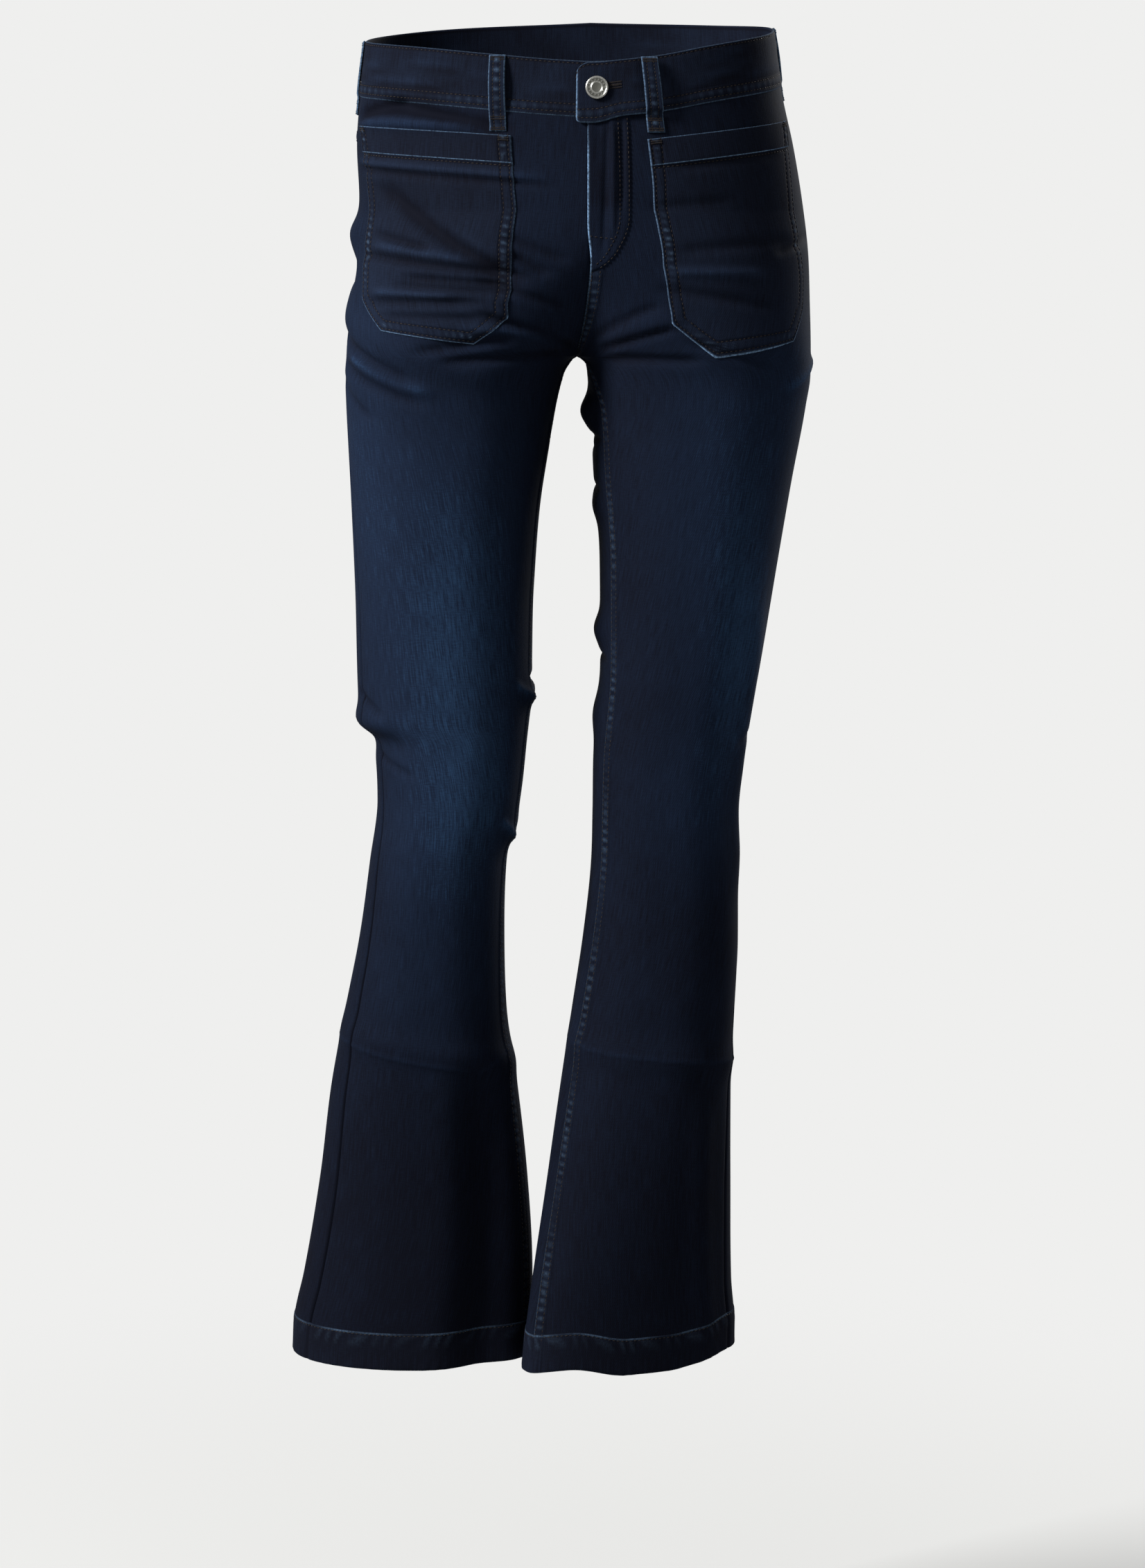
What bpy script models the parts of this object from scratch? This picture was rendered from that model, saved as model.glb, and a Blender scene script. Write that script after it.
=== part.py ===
"""Bootcut jeans, empty, in the form they keep when worn.

Metres, +Z up. The front faces -Y and the wearer's left is at +X. The origin is at the
waist, where the wearer holds them up. Each cloth piece is a thin wall: its outer face
lies on a surface worked out from the sections below, and its inner face lies inside it.

A place on the cloth is (side, g, z). g runs round one half of the garment: 0 is the
centre front or the inseam, 1 the outseam, 2 the centre back or the inseam again.
"""

import math

import bpy
import numpy as np
from mathutils import Vector
from mathutils.bvhtree import BVHTree

MM = 0.001

# Thicknesses and gaps
CLOTH = 1.2 * MM
SEAM_GAP = 0.3 * MM
POCKET_CLOTH = 1.3 * MM
POCKET_BAND_CLOTH = 2.0 * MM
FLY_CLOTH = 1.3 * MM
BAND_THICK = 2.6 * MM
BAND_PROUD = 0.8 * MM
HEM_THICK = 2.6 * MM
HEM_PROUD = 0.8 * MM
LOOP_THICK = 1.6 * MM

# Heights and lengths
BAND_HEIGHT = 42 * MM
HEM_HEIGHT = 30 * MM
HEM_LEVEL = -1043 * MM
PANEL_TOP = -50 * MM
RISE_START = -130 * MM
CROTCH = -241 * MM
YOKE_LEVEL = -92 * MM

YOKE_SIDE_DEPTH = 36 * MM
YOKE_CENTRE_DEPTH = 64 * MM

# A panel's rows bend to its slanting top edge down to this far above the crotch, and to
# its hem from this height down
TOP_EASE_CLEAR = 35 * MM
TOP_ROW_CLEAR = 8 * MM
HEM_EASE_START = -940 * MM

# Gaps where the coarse steps of two edges that face each other differ, in seam gaps
BAND_SEAM_GAPS = 1.7
HEM_SEAM_GAPS = 2

# What is sewn on a panel is raised until it clears the panel by this much everywhere
SEAT_GAP = 0.4 * MM
SEAT_SAMPLES = 5
SEAT_ROUNDS = 4

# Near the crotch the seam gap is this many times wider, within this height
CROTCH_SEAM_EASE = 5
CROTCH_SEAM_REACH = 14 * MM

# Steps along g and up the cloth that its direction is read from
DIRECTION_G_STEP = 0.004
DIRECTION_UP_STEP = 0.25 * MM

SIDES = {"right": -1, "left": 1}


def table(names, *rows):
    """Named columns of a table whose rows are in millimetres, as arrays in metres."""
    values = np.array(rows, float) * MM
    return dict(zip(names.split(), values.T))


def smooth(x, xs, ys):
    """A curve through the points (xs, ys), with no overshoot, read at x."""
    xs, ys = np.asarray(xs, float), np.asarray(ys, float)
    if xs[0] > xs[-1]:
        xs, ys = xs[::-1], ys[::-1]
    step = np.diff(xs)
    rise = np.diff(ys) / step
    slope = np.zeros(len(xs))
    slope[1:-1] = (rise[:-1] * step[1:] + rise[1:] * step[:-1]) / (step[:-1] + step[1:])
    slope[1:-1][rise[:-1] * rise[1:] <= 0] = 0
    limit = 2.5 * np.minimum(np.abs(rise[:-1]), np.abs(rise[1:]))
    slope[1:-1] = np.clip(slope[1:-1], -limit, limit)
    slope[0], slope[-1] = rise[0], rise[-1]
    x = np.clip(x, xs[0], xs[-1])
    i = np.clip(np.searchsorted(xs, x) - 1, 0, len(xs) - 2)
    t = (x - xs[i]) / step[i]
    ease = t * t * (3 - 2 * t)
    bend_in = t * (1 - t) ** 2 * step[i] * slope[i]
    bend_out = t * t * (1 - t) * step[i] * slope[i + 1]
    return ys[i] * (1 - ease) + ys[i + 1] * ease + bend_in - bend_out


def soft_step(x):
    """0 below 0, 1 above 1, and a smooth rise between."""
    x = np.clip(x, 0, 1)
    return x * x * (3 - 2 * x)


# Seat and hips, shared by both sides: where the cloth lies at each height.
PELVIS = table(
    "height right left front middle back",
    (30, 163, 147, -96, 0, 104),
    (0, 165, 151, -98, 0, 105),
    (-40, 170, 157, -101, 2, 108),
    (-80, 173, 166, -106, 4, 117),
    (-120, 171.5, 173, -109, 5, 128),
    (-160, 175.5, 178, -108, 4, 135),
    (-200, 179, 179.5, -103, 0, 132),
)

# The line where left and right meet: it leans a little, as the garment hangs.
CENTRE = table(
    "height across",
    (30, 9), (-60, 9), (-150, 9), (-185, 7.5), (-213, 4), (-241, -2),
)

# Each leg below the crotch. twist is how much further back the outer side lies than the
# inner side.
LEG = {
    "right": table(
        "height outer inner front middle back twist",
        (-241, 181.5, 2, -97, -11, 118, 0),
        (-256, 183, 7, -94, -5, 110, 0),
        (-280, 182.5, 15.2, -90, 0, 102, 0),
        (-340, 180, 28.5, -86, 4, 92, 0),
        (-420, 177, 36, -80, 6, 82, 0),
        (-524, 174, 39.5, -75, 0, 71, 0),
        (-542, 163.5, 41.5, -74, -2, 68, 0),
        (-590, 160, 47, -72, -2, 63, 0),
        (-640, 166.4, 58, -68, 0, 62, 0),
        (-700, 175, 60, -61, 2, 64, 0),
        (-760, 187, 58.5, -57, 5, 67, 0),
        (-820, 198.5, 50.5, -55, 8, 70, 0),
        (-900, 209, 42, -54, 10, 74, 0),
        (-980, 223, 38, -56, 10, 76, 0),
        (-1015, 230.5, 38, -57, 10, 76, 0),
        (-1060, 232, 38, -58, 9, 76, 0),
    ),
    "left": table(
        "height outer inner front middle back twist",
        (-241, 180, 2, -97, -11, 118, 0),
        (-256, 180, 0, -94, -8, 110, 0),
        (-280, 176.8, -5.7, -92, -4, 101, 0),
        (-340, 166, -11.5, -88, -2, 89, 0),
        (-400, 156, -16, -83, -2, 80, 0),
        (-480, 143, -16.5, -77, -4, 71, 0),
        (-560, 129, -11, -71, -6, 62, 0),
        (-600, 124.5, -10.5, -69, -7, 59, 0),
        (-640, 125.5, -9.4, -67, -8, 57, 0),
        (-700, 126, -3, -66, -8, 56, 0),
        (-760, 123.5, 6, -66, -8, 56, 2),
        (-820, 121, 15, -69, -9, 57, 10),
        (-900, 121.5, 26.5, -70, -12, 60, 26),
        (-980, 122.5, 38.5, -70, -22, 64, 46),
        (-1015, 125, 43, -70, -26, 65, 53),
        (-1060, 124.5, 47, -70, -30, 66, 60),
    ),
}
SQUARE = 2.3  # 2 is an ellipse, and more is squarer

# The arch between the legs: how much further apart their inner sides are, how soon below
# the crotch that is reached, how far down it fades out, and how far from a leg's middle
# it begins, as a share of the leg's half width
ARCH = 7 * MM
ARCH_START = 3 * MM
ARCH_END = 45 * MM
ARCH_FROM = 0.25

# How far round to the front each leg's seams lie from its widest points, in degrees, by
# height in millimetres.
INSEAM = {
    "right": ((-241, 0), (-256, 5), (-280, 9), (-340, 10), (-560, 11), (-700, 13.5), (-900, 16)),
    "left": (
        (-241, 0), (-246, 9), (-256, 19), (-270, 25), (-295, 29), (-400, 31), (-560, 32.5),
        (-700, 31), (-820, 28.5), (-980, 25), (-1060, 24),
    ),
}
OUTSEAM = {
    "right": (
        (-200, 0), (-260, 5), (-340, 14), (-420, 21), (-540, 25), (-590, 28), (-640, 32),
        (-700, 35), (-820, 36.5), (-900, 37), (-1060, 32),
    ),
    "left": ((-200, -2), (-340, -6), (-620, -6), (-700, 0), (-760, 9), (-820, 17), (-900, 23)),
}

# Height of the waistband's top edge round the waist, by angle from the centre front.
WAIST_EDGE = (
    (-180, 20), (-135, 14), (-90, 1), (-53, -7.3), (-30, -13.1), (-10, -17.5), (0, -18.7),
    (24, -13.6), (38, -7.5), (68, 3.2), (90, 10.4), (135, 17), (180, 20),
)

# How far each hem rises above its level, by g.
HEM_RISE = {
    "right": ((0, 1), (0.5, 0), (1, 2), (1.5, 3), (2, 1)),
    "left": ((0, 3), (0.2, 7), (0.45, 0), (0.65, 0), (0.8, 3), (1, 8), (1.5, 6), (2, 3)),
}

# The rows at which the panels are built, millimetres.
PANEL_ROWS = (
    -68, -86, -104, -122, -139, -155, -171, -186, -200, -212, -222, -230, -235.5, -238.8,
    -240.3, -240.85, -241, -242, -244, -248, -254, -264, -278, -296, -318, -344, -372, -402,
    -432, -462, -490, -512, -526, -536, -546, -560, -580, -604, -630, -658, -688, -720, -752,
    -778, -792, -806, -830, -860, -892, -926, -960, -990, -1013,
)
PANEL_COLUMNS = 11

# Folds: soft ridges (+) and troughs (-) that run from one place on the cloth to another.
# Each row is g and height at the start, g and height at the end, width and depth in mm.
FOLD_GIRTH = 200 * MM  # what 1 of g is taken to measure
FOLD_FADE = 0.35  # how far a fold fades out past its ends, as a share of its length
FOLDS = {
    "right": (
        (0.90, -148, 1.15, -142, 12, 5),  # hip, above the pocket's foot
        (0.92, -176, 1.12, -172, 11, -5),
        (0.90, -212, 1.18, -206, 16, 3),
        (0.64, -119, 0.33, -175, 12, -2.5),  # across the pocket
        (0.80, -57, 0.36, -66, 9, 2),  # under the waistband
        (0.78, -223, 0.40, -253, 11, 2.5),  # from the hip to the crotch
        (0.86, -524, 1.25, -526, 10, 3),  # ledge over the knee
        (0.84, -543, 1.20, -545, 9, -2),
        (1.80, -505, 2.05, -505, 11, 3),  # inside of the knee
        (1.85, -612, 2.10, -612, 12, 2.5),
        (0.05, -800, 0.95, -778, 12, 2.5),  # across the calf
        (0.25, -850, 0.25, -1043, 26, -12),  # long trough down to the hem
        (1.30, -560, 1.72, -552, 14, -4),  # behind the knee
        (1.28, -590, 1.70, -598, 13, -3),
        (1.25, -258, 1.80, -282, 15, -4),  # under the seat
        (1.55, -880, 1.50, -1043, 30, -6),
    ),
    "left": (
        (0.12, -226, 0.28, -213, 10, 2),  # from the crotch up to the pocket
        (1.62, -281, 1.90, -285, 13, 8.5),  # inside of the thigh
        (1.64, -356, 1.90, -359, 11, 3),
        (1.62, -452, 1.90, -457, 11, 5),
        (1.62, -520, 1.90, -523, 16, 3.2),
        (0.72, -470, 0.82, -625, 15, 3),  # beside the knee
        (0.10, -783, 0.92, -797, 12, 2.5),  # across the calf
        (0.78, -859, 0.84, -1010, 14, 3),
        (1.28, -548, 1.66, -556, 14, -4),  # behind the knee
        (1.30, -585, 1.70, -580, 13, -3),
        (1.22, -262, 1.62, -292, 15, -4),  # under the seat
        (1.45, -900, 1.48, -1043, 28, -5),
    ),
}

# The patch pockets: down each edge, a height and its distance round from the outseam, mm.
POCKET = {
    "right": table(
        "inner_height inner outer_height outer",
        (-74, 177, -65, 34),
        (-95, 180, -85, 41),
        (-118, 182, -107, 45),
        (-143, 185, -130, 49),
        (-168, 188, -154, 52),
        (-190, 189, -176, 54),
        (-211, 182, -197, 57),
        (-231, 148, -221, 77),
    ),
    "left": table(
        "inner_height inner outer_height outer",
        (-77, 180, -61, 39),
        (-97, 183, -81, 47),
        (-120, 186, -105, 53),
        (-146, 188, -130, 57),
        (-172, 188, -156, 57),
        (-195, 183, -180, 54),
        (-215, 177, -204, 56),
        (-241, 140, -229, 71),
    ),
}
POCKET_COLUMNS = 10

# The hem's ring: down it, share of its height and share of its full stand-off there
HEM_COLUMNS = 28
HEM_PROFILE = ((0, 0.5), (0.12, 1), (0.88, 1), (1, 0.5))

YOKE_ROWS = 4

# The fly: how far across its outer edge lies at each height, down to the J's end.
FLY_LAP = 3.5 * MM
FLY_COLUMNS = 9
FLY_WITHIN = 0.4  # the fly lies within this much of g from the centre front
FLY_SAMPLES = 161
FLY_OUTLINE = table(
    "height across",
    (-66.5, 38.5), (-90, 39.5), (-112, 40), (-134, 40), (-146, 38), (-156, 33.5), (-165, 28),
    (-172, 20), (-177, 10),
)

# The waistband's ends, as g past the centre front, and how the upper end droops
LAP_END = -0.052
LAP_END_STATIONS = (1, 0.85, 0.5)
UNDER_END = 0.12
LAP_CLEAR = 0.02
LAP_EASE = 0.13
LAP_DROOP = 4.5 * MM
LAP_TOP_DROOP = 0.9 * MM
LAP_CORNER = 7 * MM
BAND_STATIONS = 36
# Down the waistband: share of its height, and share of its full stand-off there
BAND_PROFILE = ((0, 0.4), (0.07, 1), (0.5, 1), (0.93, 1), (1, 0.4))

# Belt loops: side, g at the top and at the foot, and how far it bows out, mm. The loop at
# g = 2 is the centre back's.
LOOP_WIDTH = 12.5 * MM
LOOP_FOOT = 15 * MM
LOOP_TOP_CLEAR = 0.5 * MM
LOOP_SEAT_CLEAR = 0.06
LOOP_LEVEL = -30 * MM
LOOP_ROWS = (0, 0.07, 0.2, 0.4, 0.6, 0.78, 0.93, 1)
LOOPS = (
    ("right", 0.316, 0.300, 6.2), ("left", 0.210, 0.222, 5.8), ("right", 1.0, 1.0, 5.0),
    ("left", 1.05, 1.05, 5.8), ("left", 2.0, 2.0, 5.6),
)

# The button: its place on the left front, and its turned profile as (radius, height) mm
BUTTON_G = 0.019
BUTTON_HEIGHT = -39 * MM
BUTTON_PROFILE = (
    (4.2, 0), (8.2, 0.2), (9.3, 0.9), (9.5, 1.7), (9.1, 2.5), (8.0, 2.8), (5.2, 2.4), (4.6, 2.7),
    (3.0, 2.9),
)
BUTTON_SIDES = 28


def down_the_side(side, z, leg_name, pelvis_name):
    """A size that runs on from the hips into one leg, read at heights z."""
    heights = np.concatenate([PELVIS["height"], LEG[side]["height"]])
    values = np.concatenate([PELVIS[pelvis_name], LEG[side][leg_name]])
    return smooth(z, heights, values)


def seam_angle(seam, z):
    """How far round to the front a seam lies at heights z, in radians."""
    heights, degrees = zip(*seam)
    return np.radians(smooth(z, np.array(heights) * MM, degrees))


def section_sizes(side, z):
    """Sizes of one side's section at heights z, with the angles where its panels end."""
    sign = SIDES[side]
    leg = LEG[side]
    above = z > CROTCH
    size = {name: down_the_side(side, z, name, name) for name in ("front", "middle", "back")}
    outer = sign * down_the_side(side, z, "outer", side)
    centre = smooth(z, CENTRE["height"], CENTRE["across"])
    inner_low = -smooth(z, leg["height"], leg["inner"])
    inner = np.where(above, centre, inner_low) + sign * SEAM_GAP / 2
    share = np.clip((RISE_START - z) / (RISE_START - CROTCH), 0, 1)
    size["half"] = np.abs(outer - inner) / (1 + share)
    size["across"] = inner + sign * share * size["half"]
    size["twist"] = smooth(z, leg["height"], leg["twist"])
    below = np.maximum(CROTCH - z, 0)
    size["arch"] = ARCH * (1 - np.exp(-below / ARCH_START)) * np.exp(-((below / ARCH_END) ** 2))
    cut = np.arccos(share ** (SQUARE / 2))
    seam_in = seam_angle(INSEAM[side], z)
    size["start"] = np.where(above, cut, seam_in)
    size["seam"] = np.pi - seam_angle(OUTSEAM[side], z)
    size["end"] = 2 * np.pi + np.where(above, -cut, seam_in)
    return size


def section_points(side, z, g, samples=121):
    """Points of the plain surface, before folds, at (g, z); g is even along the cloth."""
    sign = SIDES[side]
    size = {name: value[:, None] for name, value in section_sizes(side, z).items()}
    front = (g <= 1)[:, None]
    first = np.where(front, size["start"], size["seam"])
    last = np.where(front, size["seam"], size["end"])
    angle = first + (last - first) * np.linspace(0, 1, samples)
    cosine, sine = np.cos(angle), np.sin(angle)
    across = -np.sign(cosine) * np.abs(cosine) ** (2 / SQUARE)
    depth = np.abs(sine) ** (2 / SQUARE)
    to_front = size["front"] - size["middle"]
    to_back = size["back"] - size["middle"]
    near_inner = np.clip((-across - ARCH_FROM) / (1 - ARCH_FROM), 0, 1) ** 2
    x = size["across"] + sign * (size["half"] * across + size["arch"] * near_inner)
    y = size["middle"] + size["twist"] * across / 2 + depth * np.where(sine > 0, to_front, to_back)
    length = np.hypot(np.diff(x, axis=1), np.diff(y, axis=1))
    length = np.concatenate([np.zeros((len(z), 1)), np.cumsum(length, axis=1)], axis=1)
    wanted = np.where(g <= 1, g, g - 1) * length[:, -1]
    points = np.empty((len(z), 3))
    for i in range(len(z)):
        points[i, 0] = np.interp(wanted[i], length[i], x[i])
        points[i, 1] = np.interp(wanted[i], length[i], y[i])
    points[:, 2] = z
    return points


def normals(side, z, g):
    """Directions out of the plain surface at (g, z)."""
    low = np.maximum(g - DIRECTION_G_STEP, 0)
    high = np.minimum(g + DIRECTION_G_STEP, 2)
    above, below = z + DIRECTION_UP_STEP, z - DIRECTION_UP_STEP
    along = section_points(side, z, high) - section_points(side, z, low)
    rise = section_points(side, above, g) - section_points(side, below, g)
    out = np.cross(along, rise) * SIDES[side]
    return out / np.linalg.norm(out, axis=1)[:, None]


def fold_height(side, z, g):
    """How far the folds push the cloth out at (g, z)."""
    total = np.zeros(len(z))
    for g1, z1, g2, z2, width, height in FOLDS[side]:
        start = np.array([g1 * FOLD_GIRTH, z1 * MM])
        run = np.array([g2 * FOLD_GIRTH, z2 * MM]) - start
        for turn in (-2, 0, 2):
            place = np.stack([(g + turn) * FOLD_GIRTH, z], axis=1) - start
            share = np.clip(place @ run / (run @ run), -FOLD_FADE, 1 + FOLD_FADE)
            away = np.linalg.norm(place - share[:, None] * run, axis=1)
            ends = soft_step(1 + share / FOLD_FADE) * soft_step(1 + (1 - share) / FOLD_FADE)
            total += height * MM * ends * np.exp(-((away / (width * MM)) ** 2))
    return total


def cloth(side, z, g, out=0.0):
    """Points on the cloth's outer face at (g, z), moved outward by out."""
    shape = np.broadcast_shapes(np.shape(z), np.shape(g), np.shape(out))
    z = np.broadcast_to(z, shape).ravel().astype(float)
    g = np.broadcast_to(g, shape).ravel().astype(float)
    out = np.broadcast_to(out, shape).ravel() + fold_height(side, z, g)
    points = section_points(side, z, g) + out[:, None] * normals(side, z, g)
    return points.reshape(*shape, 3)


def face_length(side, z, low=0):
    """Length of the front cloth (low 0) or the back cloth (low 1) round at height z."""
    line = section_points(side, np.full(41, z), np.linspace(low, low + 1, 41))
    return np.linalg.norm(np.diff(line, axis=0), axis=1).sum()


def g_from_outseam(side, z, distance):
    """g on the front at a distance round from the outseam."""
    return 1 - distance / np.array([face_length(side, height) for height in z])


# ---------------------------------------------------------------- edges of the pieces


def waist_edge(side, g):
    """Height of the waistband's top edge."""
    angles, heights = zip(*WAIST_EDGE)
    return smooth(SIDES[side] * g * 90.0, angles, np.array(heights) * MM)


def panel_top(side, g):
    """Height of the panels' top edge, a little lower than the band for its coarser steps."""
    return waist_edge(side, g) - BAND_HEIGHT - BAND_SEAM_GAPS * SEAM_GAP


def yoke_line(side, g):
    """The yoke's lower edge, which drops from the side to the centre back."""
    deeper = (YOKE_CENTRE_DEPTH - YOKE_SIDE_DEPTH) * soft_step(g - 1)
    return panel_top(side, g) - YOKE_SIDE_DEPTH - deeper


def hem_edge(side, g):
    """Height of the leg opening's edge."""
    places, rises = zip(*HEM_RISE[side])
    return HEM_LEVEL + smooth(g, places, np.array(rises) * MM)


# ---------------------------------------------------------------- mesh helpers


def material(name, color, roughness, metallic=0.0):
    """A plain material of a linear RGB colour."""
    mat = bpy.data.materials.new(name)
    mat.use_nodes = True
    shader = mat.node_tree.nodes["Principled BSDF"]
    shader.inputs["Base Color"].default_value = (*color, 1)
    shader.inputs["Roughness"].default_value = roughness
    shader.inputs["Metallic"].default_value = metallic
    mat.diffuse_color = (*color, 1)
    return mat


def add_object(name, points, faces, mat):
    """A smooth-shaded mesh object of its own material."""
    mesh = bpy.data.meshes.new(name)
    mesh.from_pydata([tuple(p) for p in points], [], faces)
    mesh.validate()
    mesh.shade_smooth()
    mesh.set_sharp_from_angle(angle=math.radians(40))
    mesh.materials.append(mat)
    obj = bpy.data.objects.new(name, mesh)
    bpy.context.scene.collection.objects.link(obj)
    return obj


def wall(name, outer, inner, mat, closed=False, flip=False):
    """A solid wall between two grids of points, row by row; closed joins last to first."""
    rows, columns = outer.shape[:2]
    points = np.concatenate([outer.reshape(-1, 3), inner.reshape(-1, 3)])
    behind = rows * columns
    spans = columns if closed else columns - 1
    faces = []
    for r in range(rows - 1):
        for c in range(spans):
            a, b = r * columns + c, r * columns + (c + 1) % columns
            d, e = a + columns, b + columns
            faces += [(a, d, e), (a, e, b)]
            faces += [(behind + a, behind + e, behind + d), (behind + a, behind + b, behind + e)]
    for c in range(spans):
        a, b = c, (c + 1) % columns
        faces.append((a, b, behind + b, behind + a))
        a, b = a + (rows - 1) * columns, b + (rows - 1) * columns
        faces.append((b, a, behind + a, behind + b))
    if not closed:
        for r in range(rows - 1):
            a, d = r * columns, (r + 1) * columns
            faces.append((d, a, behind + a, behind + d))
            a, d = a + columns - 1, d + columns - 1
            faces.append((a, d, behind + d, behind + a))
    if flip:
        faces = [face[::-1] for face in faces]
    return add_object(name, points, faces, mat)


def cloth_wall(name, side, z, g, thick, mat, lift=0.0, closed=False):
    """A wall of the given thickness whose inner face lies lift above the cloth's face."""
    outer = cloth(side, z, g, lift + thick)
    inner = cloth(side, z, g, lift)
    return wall(name, outer, inner, mat, closed, flip=SIDES[side] < 0)


# ---------------------------------------------------------------- the pieces


def trimmed(low, high, count, side, z):
    """g values across a panel at height z, stopping half a seam gap from each seam.

    Near the crotch the seams run almost level, so they stop further away there.
    """
    level_seam = 1 + CROTCH_SEAM_EASE * np.exp(-(((z - CROTCH) / CROTCH_SEAM_REACH) ** 2))
    edge = level_seam * SEAM_GAP / 2 / face_length(side, z, low)
    return np.linspace(low + edge, high - edge, count)


def make_panel(name, side, face, mat):
    """A front or back panel from its top seam to its hem seam."""
    low, high, top_level = (0, 1, PANEL_TOP) if face == "front" else (1, 2, YOKE_LEVEL)
    ease_end = CROTCH + TOP_EASE_CLEAR
    levels = [level * MM for level in PANEL_ROWS if level * MM < top_level - TOP_ROW_CLEAR]
    z, g = [], []
    for level in [top_level, *levels]:
        row_g = trimmed(low, high, PANEL_COLUMNS, side, level)
        top = panel_top(side, row_g) if face == "front" else yoke_line(side, row_g) - SEAM_GAP
        bottom = hem_edge(side, row_g) + HEM_HEIGHT + HEM_SEAM_GAPS * SEAM_GAP
        to_top = soft_step((level - ease_end) / (top_level - ease_end))
        to_hem = soft_step((HEM_EASE_START - level) / (HEM_EASE_START - levels[-1]))
        z.append(level + to_top * (top - top_level) + to_hem * (bottom - levels[-1]))
        g.append(row_g)
    return cloth_wall(name, side, np.array(z), np.array(g), CLOTH, mat, lift=-CLOTH)


def make_yoke(name, side, mat):
    """The shaped strip between the waistband and a back panel."""
    level = (PANEL_TOP + YOKE_LEVEL) / 2
    g = trimmed(1, 2, PANEL_COLUMNS, side, level)
    share = np.linspace(0, 1, YOKE_ROWS)[:, None]
    z = panel_top(side, g) * (1 - share) + yoke_line(side, g) * share
    return cloth_wall(name, side, z, np.broadcast_to(g, z.shape), CLOTH, mat, lift=-CLOTH)


def make_hem(name, side, mat):
    """The turned hem: a ring round the leg opening, a little thicker than the panels."""
    g = np.arange(HEM_COLUMNS) * 2 / HEM_COLUMNS
    down, proud = np.array(HEM_PROFILE).T[:, :, None]
    z = hem_edge(side, g) + HEM_HEIGHT * (1 - down)
    outer = cloth(side, z, g, proud * HEM_PROUD)
    inner = cloth(side, z, g, proud * (HEM_PROUD - HEM_THICK))
    return wall(name, outer, inner, mat, closed=True, flip=SIDES[side] < 0)


def raised_to_clear(inner, out, panels):
    """The grid inner, moved along out where needed so that it clears the panels under it."""
    corners, faces = [], []
    for panel in panels:
        faces += [[i + len(corners) for i in face.vertices] for face in panel.data.polygons]
        corners += [vertex.co for vertex in panel.data.vertices]
    tree = BVHTree.FromPolygons(corners, faces)
    lift = np.zeros(inner.shape[:2])
    steps = np.linspace(0, 1, SEAT_SAMPLES)
    for _ in range(SEAT_ROUNDS):
        points = inner + lift[..., None] * out
        short = np.zeros_like(lift)
        for r, c in np.ndindex(lift.shape[0] - 1, lift.shape[1] - 1):
            a, b, d, e = points[r:r + 2, c:c + 2].reshape(4, 3)
            for down in steps:
                for along in steps:
                    side_b = b - a if along > down else e - d
                    side_d = d - a if along <= down else e - b
                    place = Vector(a + down * side_d + along * side_b)
                    hit, normal = tree.find_nearest(place)[:2]
                    lack = SEAT_GAP - (place - hit).dot(normal)
                    short[r:r + 2, c:c + 2] = np.maximum(short[r:r + 2, c:c + 2], lack)
        lift += np.maximum(short, 0)
    return inner + lift[..., None] * out


def make_pocket(name, side, rows, thick, mat):
    """One layer of a patch pocket over the given rows of its table."""
    edges = {key: values[rows].copy() for key, values in POCKET[side].items()}
    if rows.start:
        edges["inner_height"][0] -= SEAM_GAP
        edges["outer_height"][0] -= SEAM_GAP
    inner_g = g_from_outseam(side, edges["inner_height"], edges["inner"])
    outer_g = g_from_outseam(side, edges["outer_height"], edges["outer"])
    share = np.linspace(0, 1, POCKET_COLUMNS)
    g = inner_g[:, None] * (1 - share) + outer_g[:, None] * share
    z = edges["inner_height"][:, None] * (1 - share) + edges["outer_height"][:, None] * share
    out = normals(side, z.ravel(), g.ravel()).reshape(*z.shape, 3)
    panel = bpy.data.objects[f"front_{side}"]
    inner = raised_to_clear(cloth(side, z, g), out, [panel])
    return wall(name, inner + thick * out, inner, mat, flip=SIDES[side] < 0)


def make_fly_lap(mat):
    """The left front's turned edge over the zip, its free edge past the centre front."""
    inner, out = [], []
    for height, across in zip(FLY_OUTLINE["height"], FLY_OUTLINE["across"]):
        centre = smooth(height, CENTRE["height"], CENTRE["across"])
        for x in np.linspace(centre - FLY_LAP, across, FLY_COLUMNS):
            side = "left" if x > centre else "right"
            near = np.linspace(0, FLY_WITHIN, FLY_SAMPLES)
            line = section_points(side, np.full(len(near), height), near)
            order = np.argsort(line[:, 0])
            g = np.array([np.interp(x, line[order, 0], near[order])])
            level = np.array([height])
            inner.append(cloth(side, level, g)[0])
            out.append(normals(side, level, g)[0])
    shape = (len(FLY_OUTLINE["height"]), FLY_COLUMNS, 3)
    inner, out = np.array(inner).reshape(shape), np.array(out).reshape(shape)
    panels = [bpy.data.objects["front_left"], bpy.data.objects["front_right"]]
    inner = raised_to_clear(inner, out, panels)
    return wall("fly_lap", inner + FLY_CLOTH * out, inner, mat)


def lap_share(g):
    """1 where the waistband's left end lies over its right end, 0 where it doesn't."""
    return 1 - soft_step((g - UNDER_END - LAP_CLEAR) / LAP_EASE)


def band_lift(side, g):
    """How far the waistband's outer face stands off the plain surface near g."""
    over = lap_share(g) if side == "left" else 0
    return BAND_PROUD + over * (BAND_THICK + SEAM_GAP)


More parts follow.
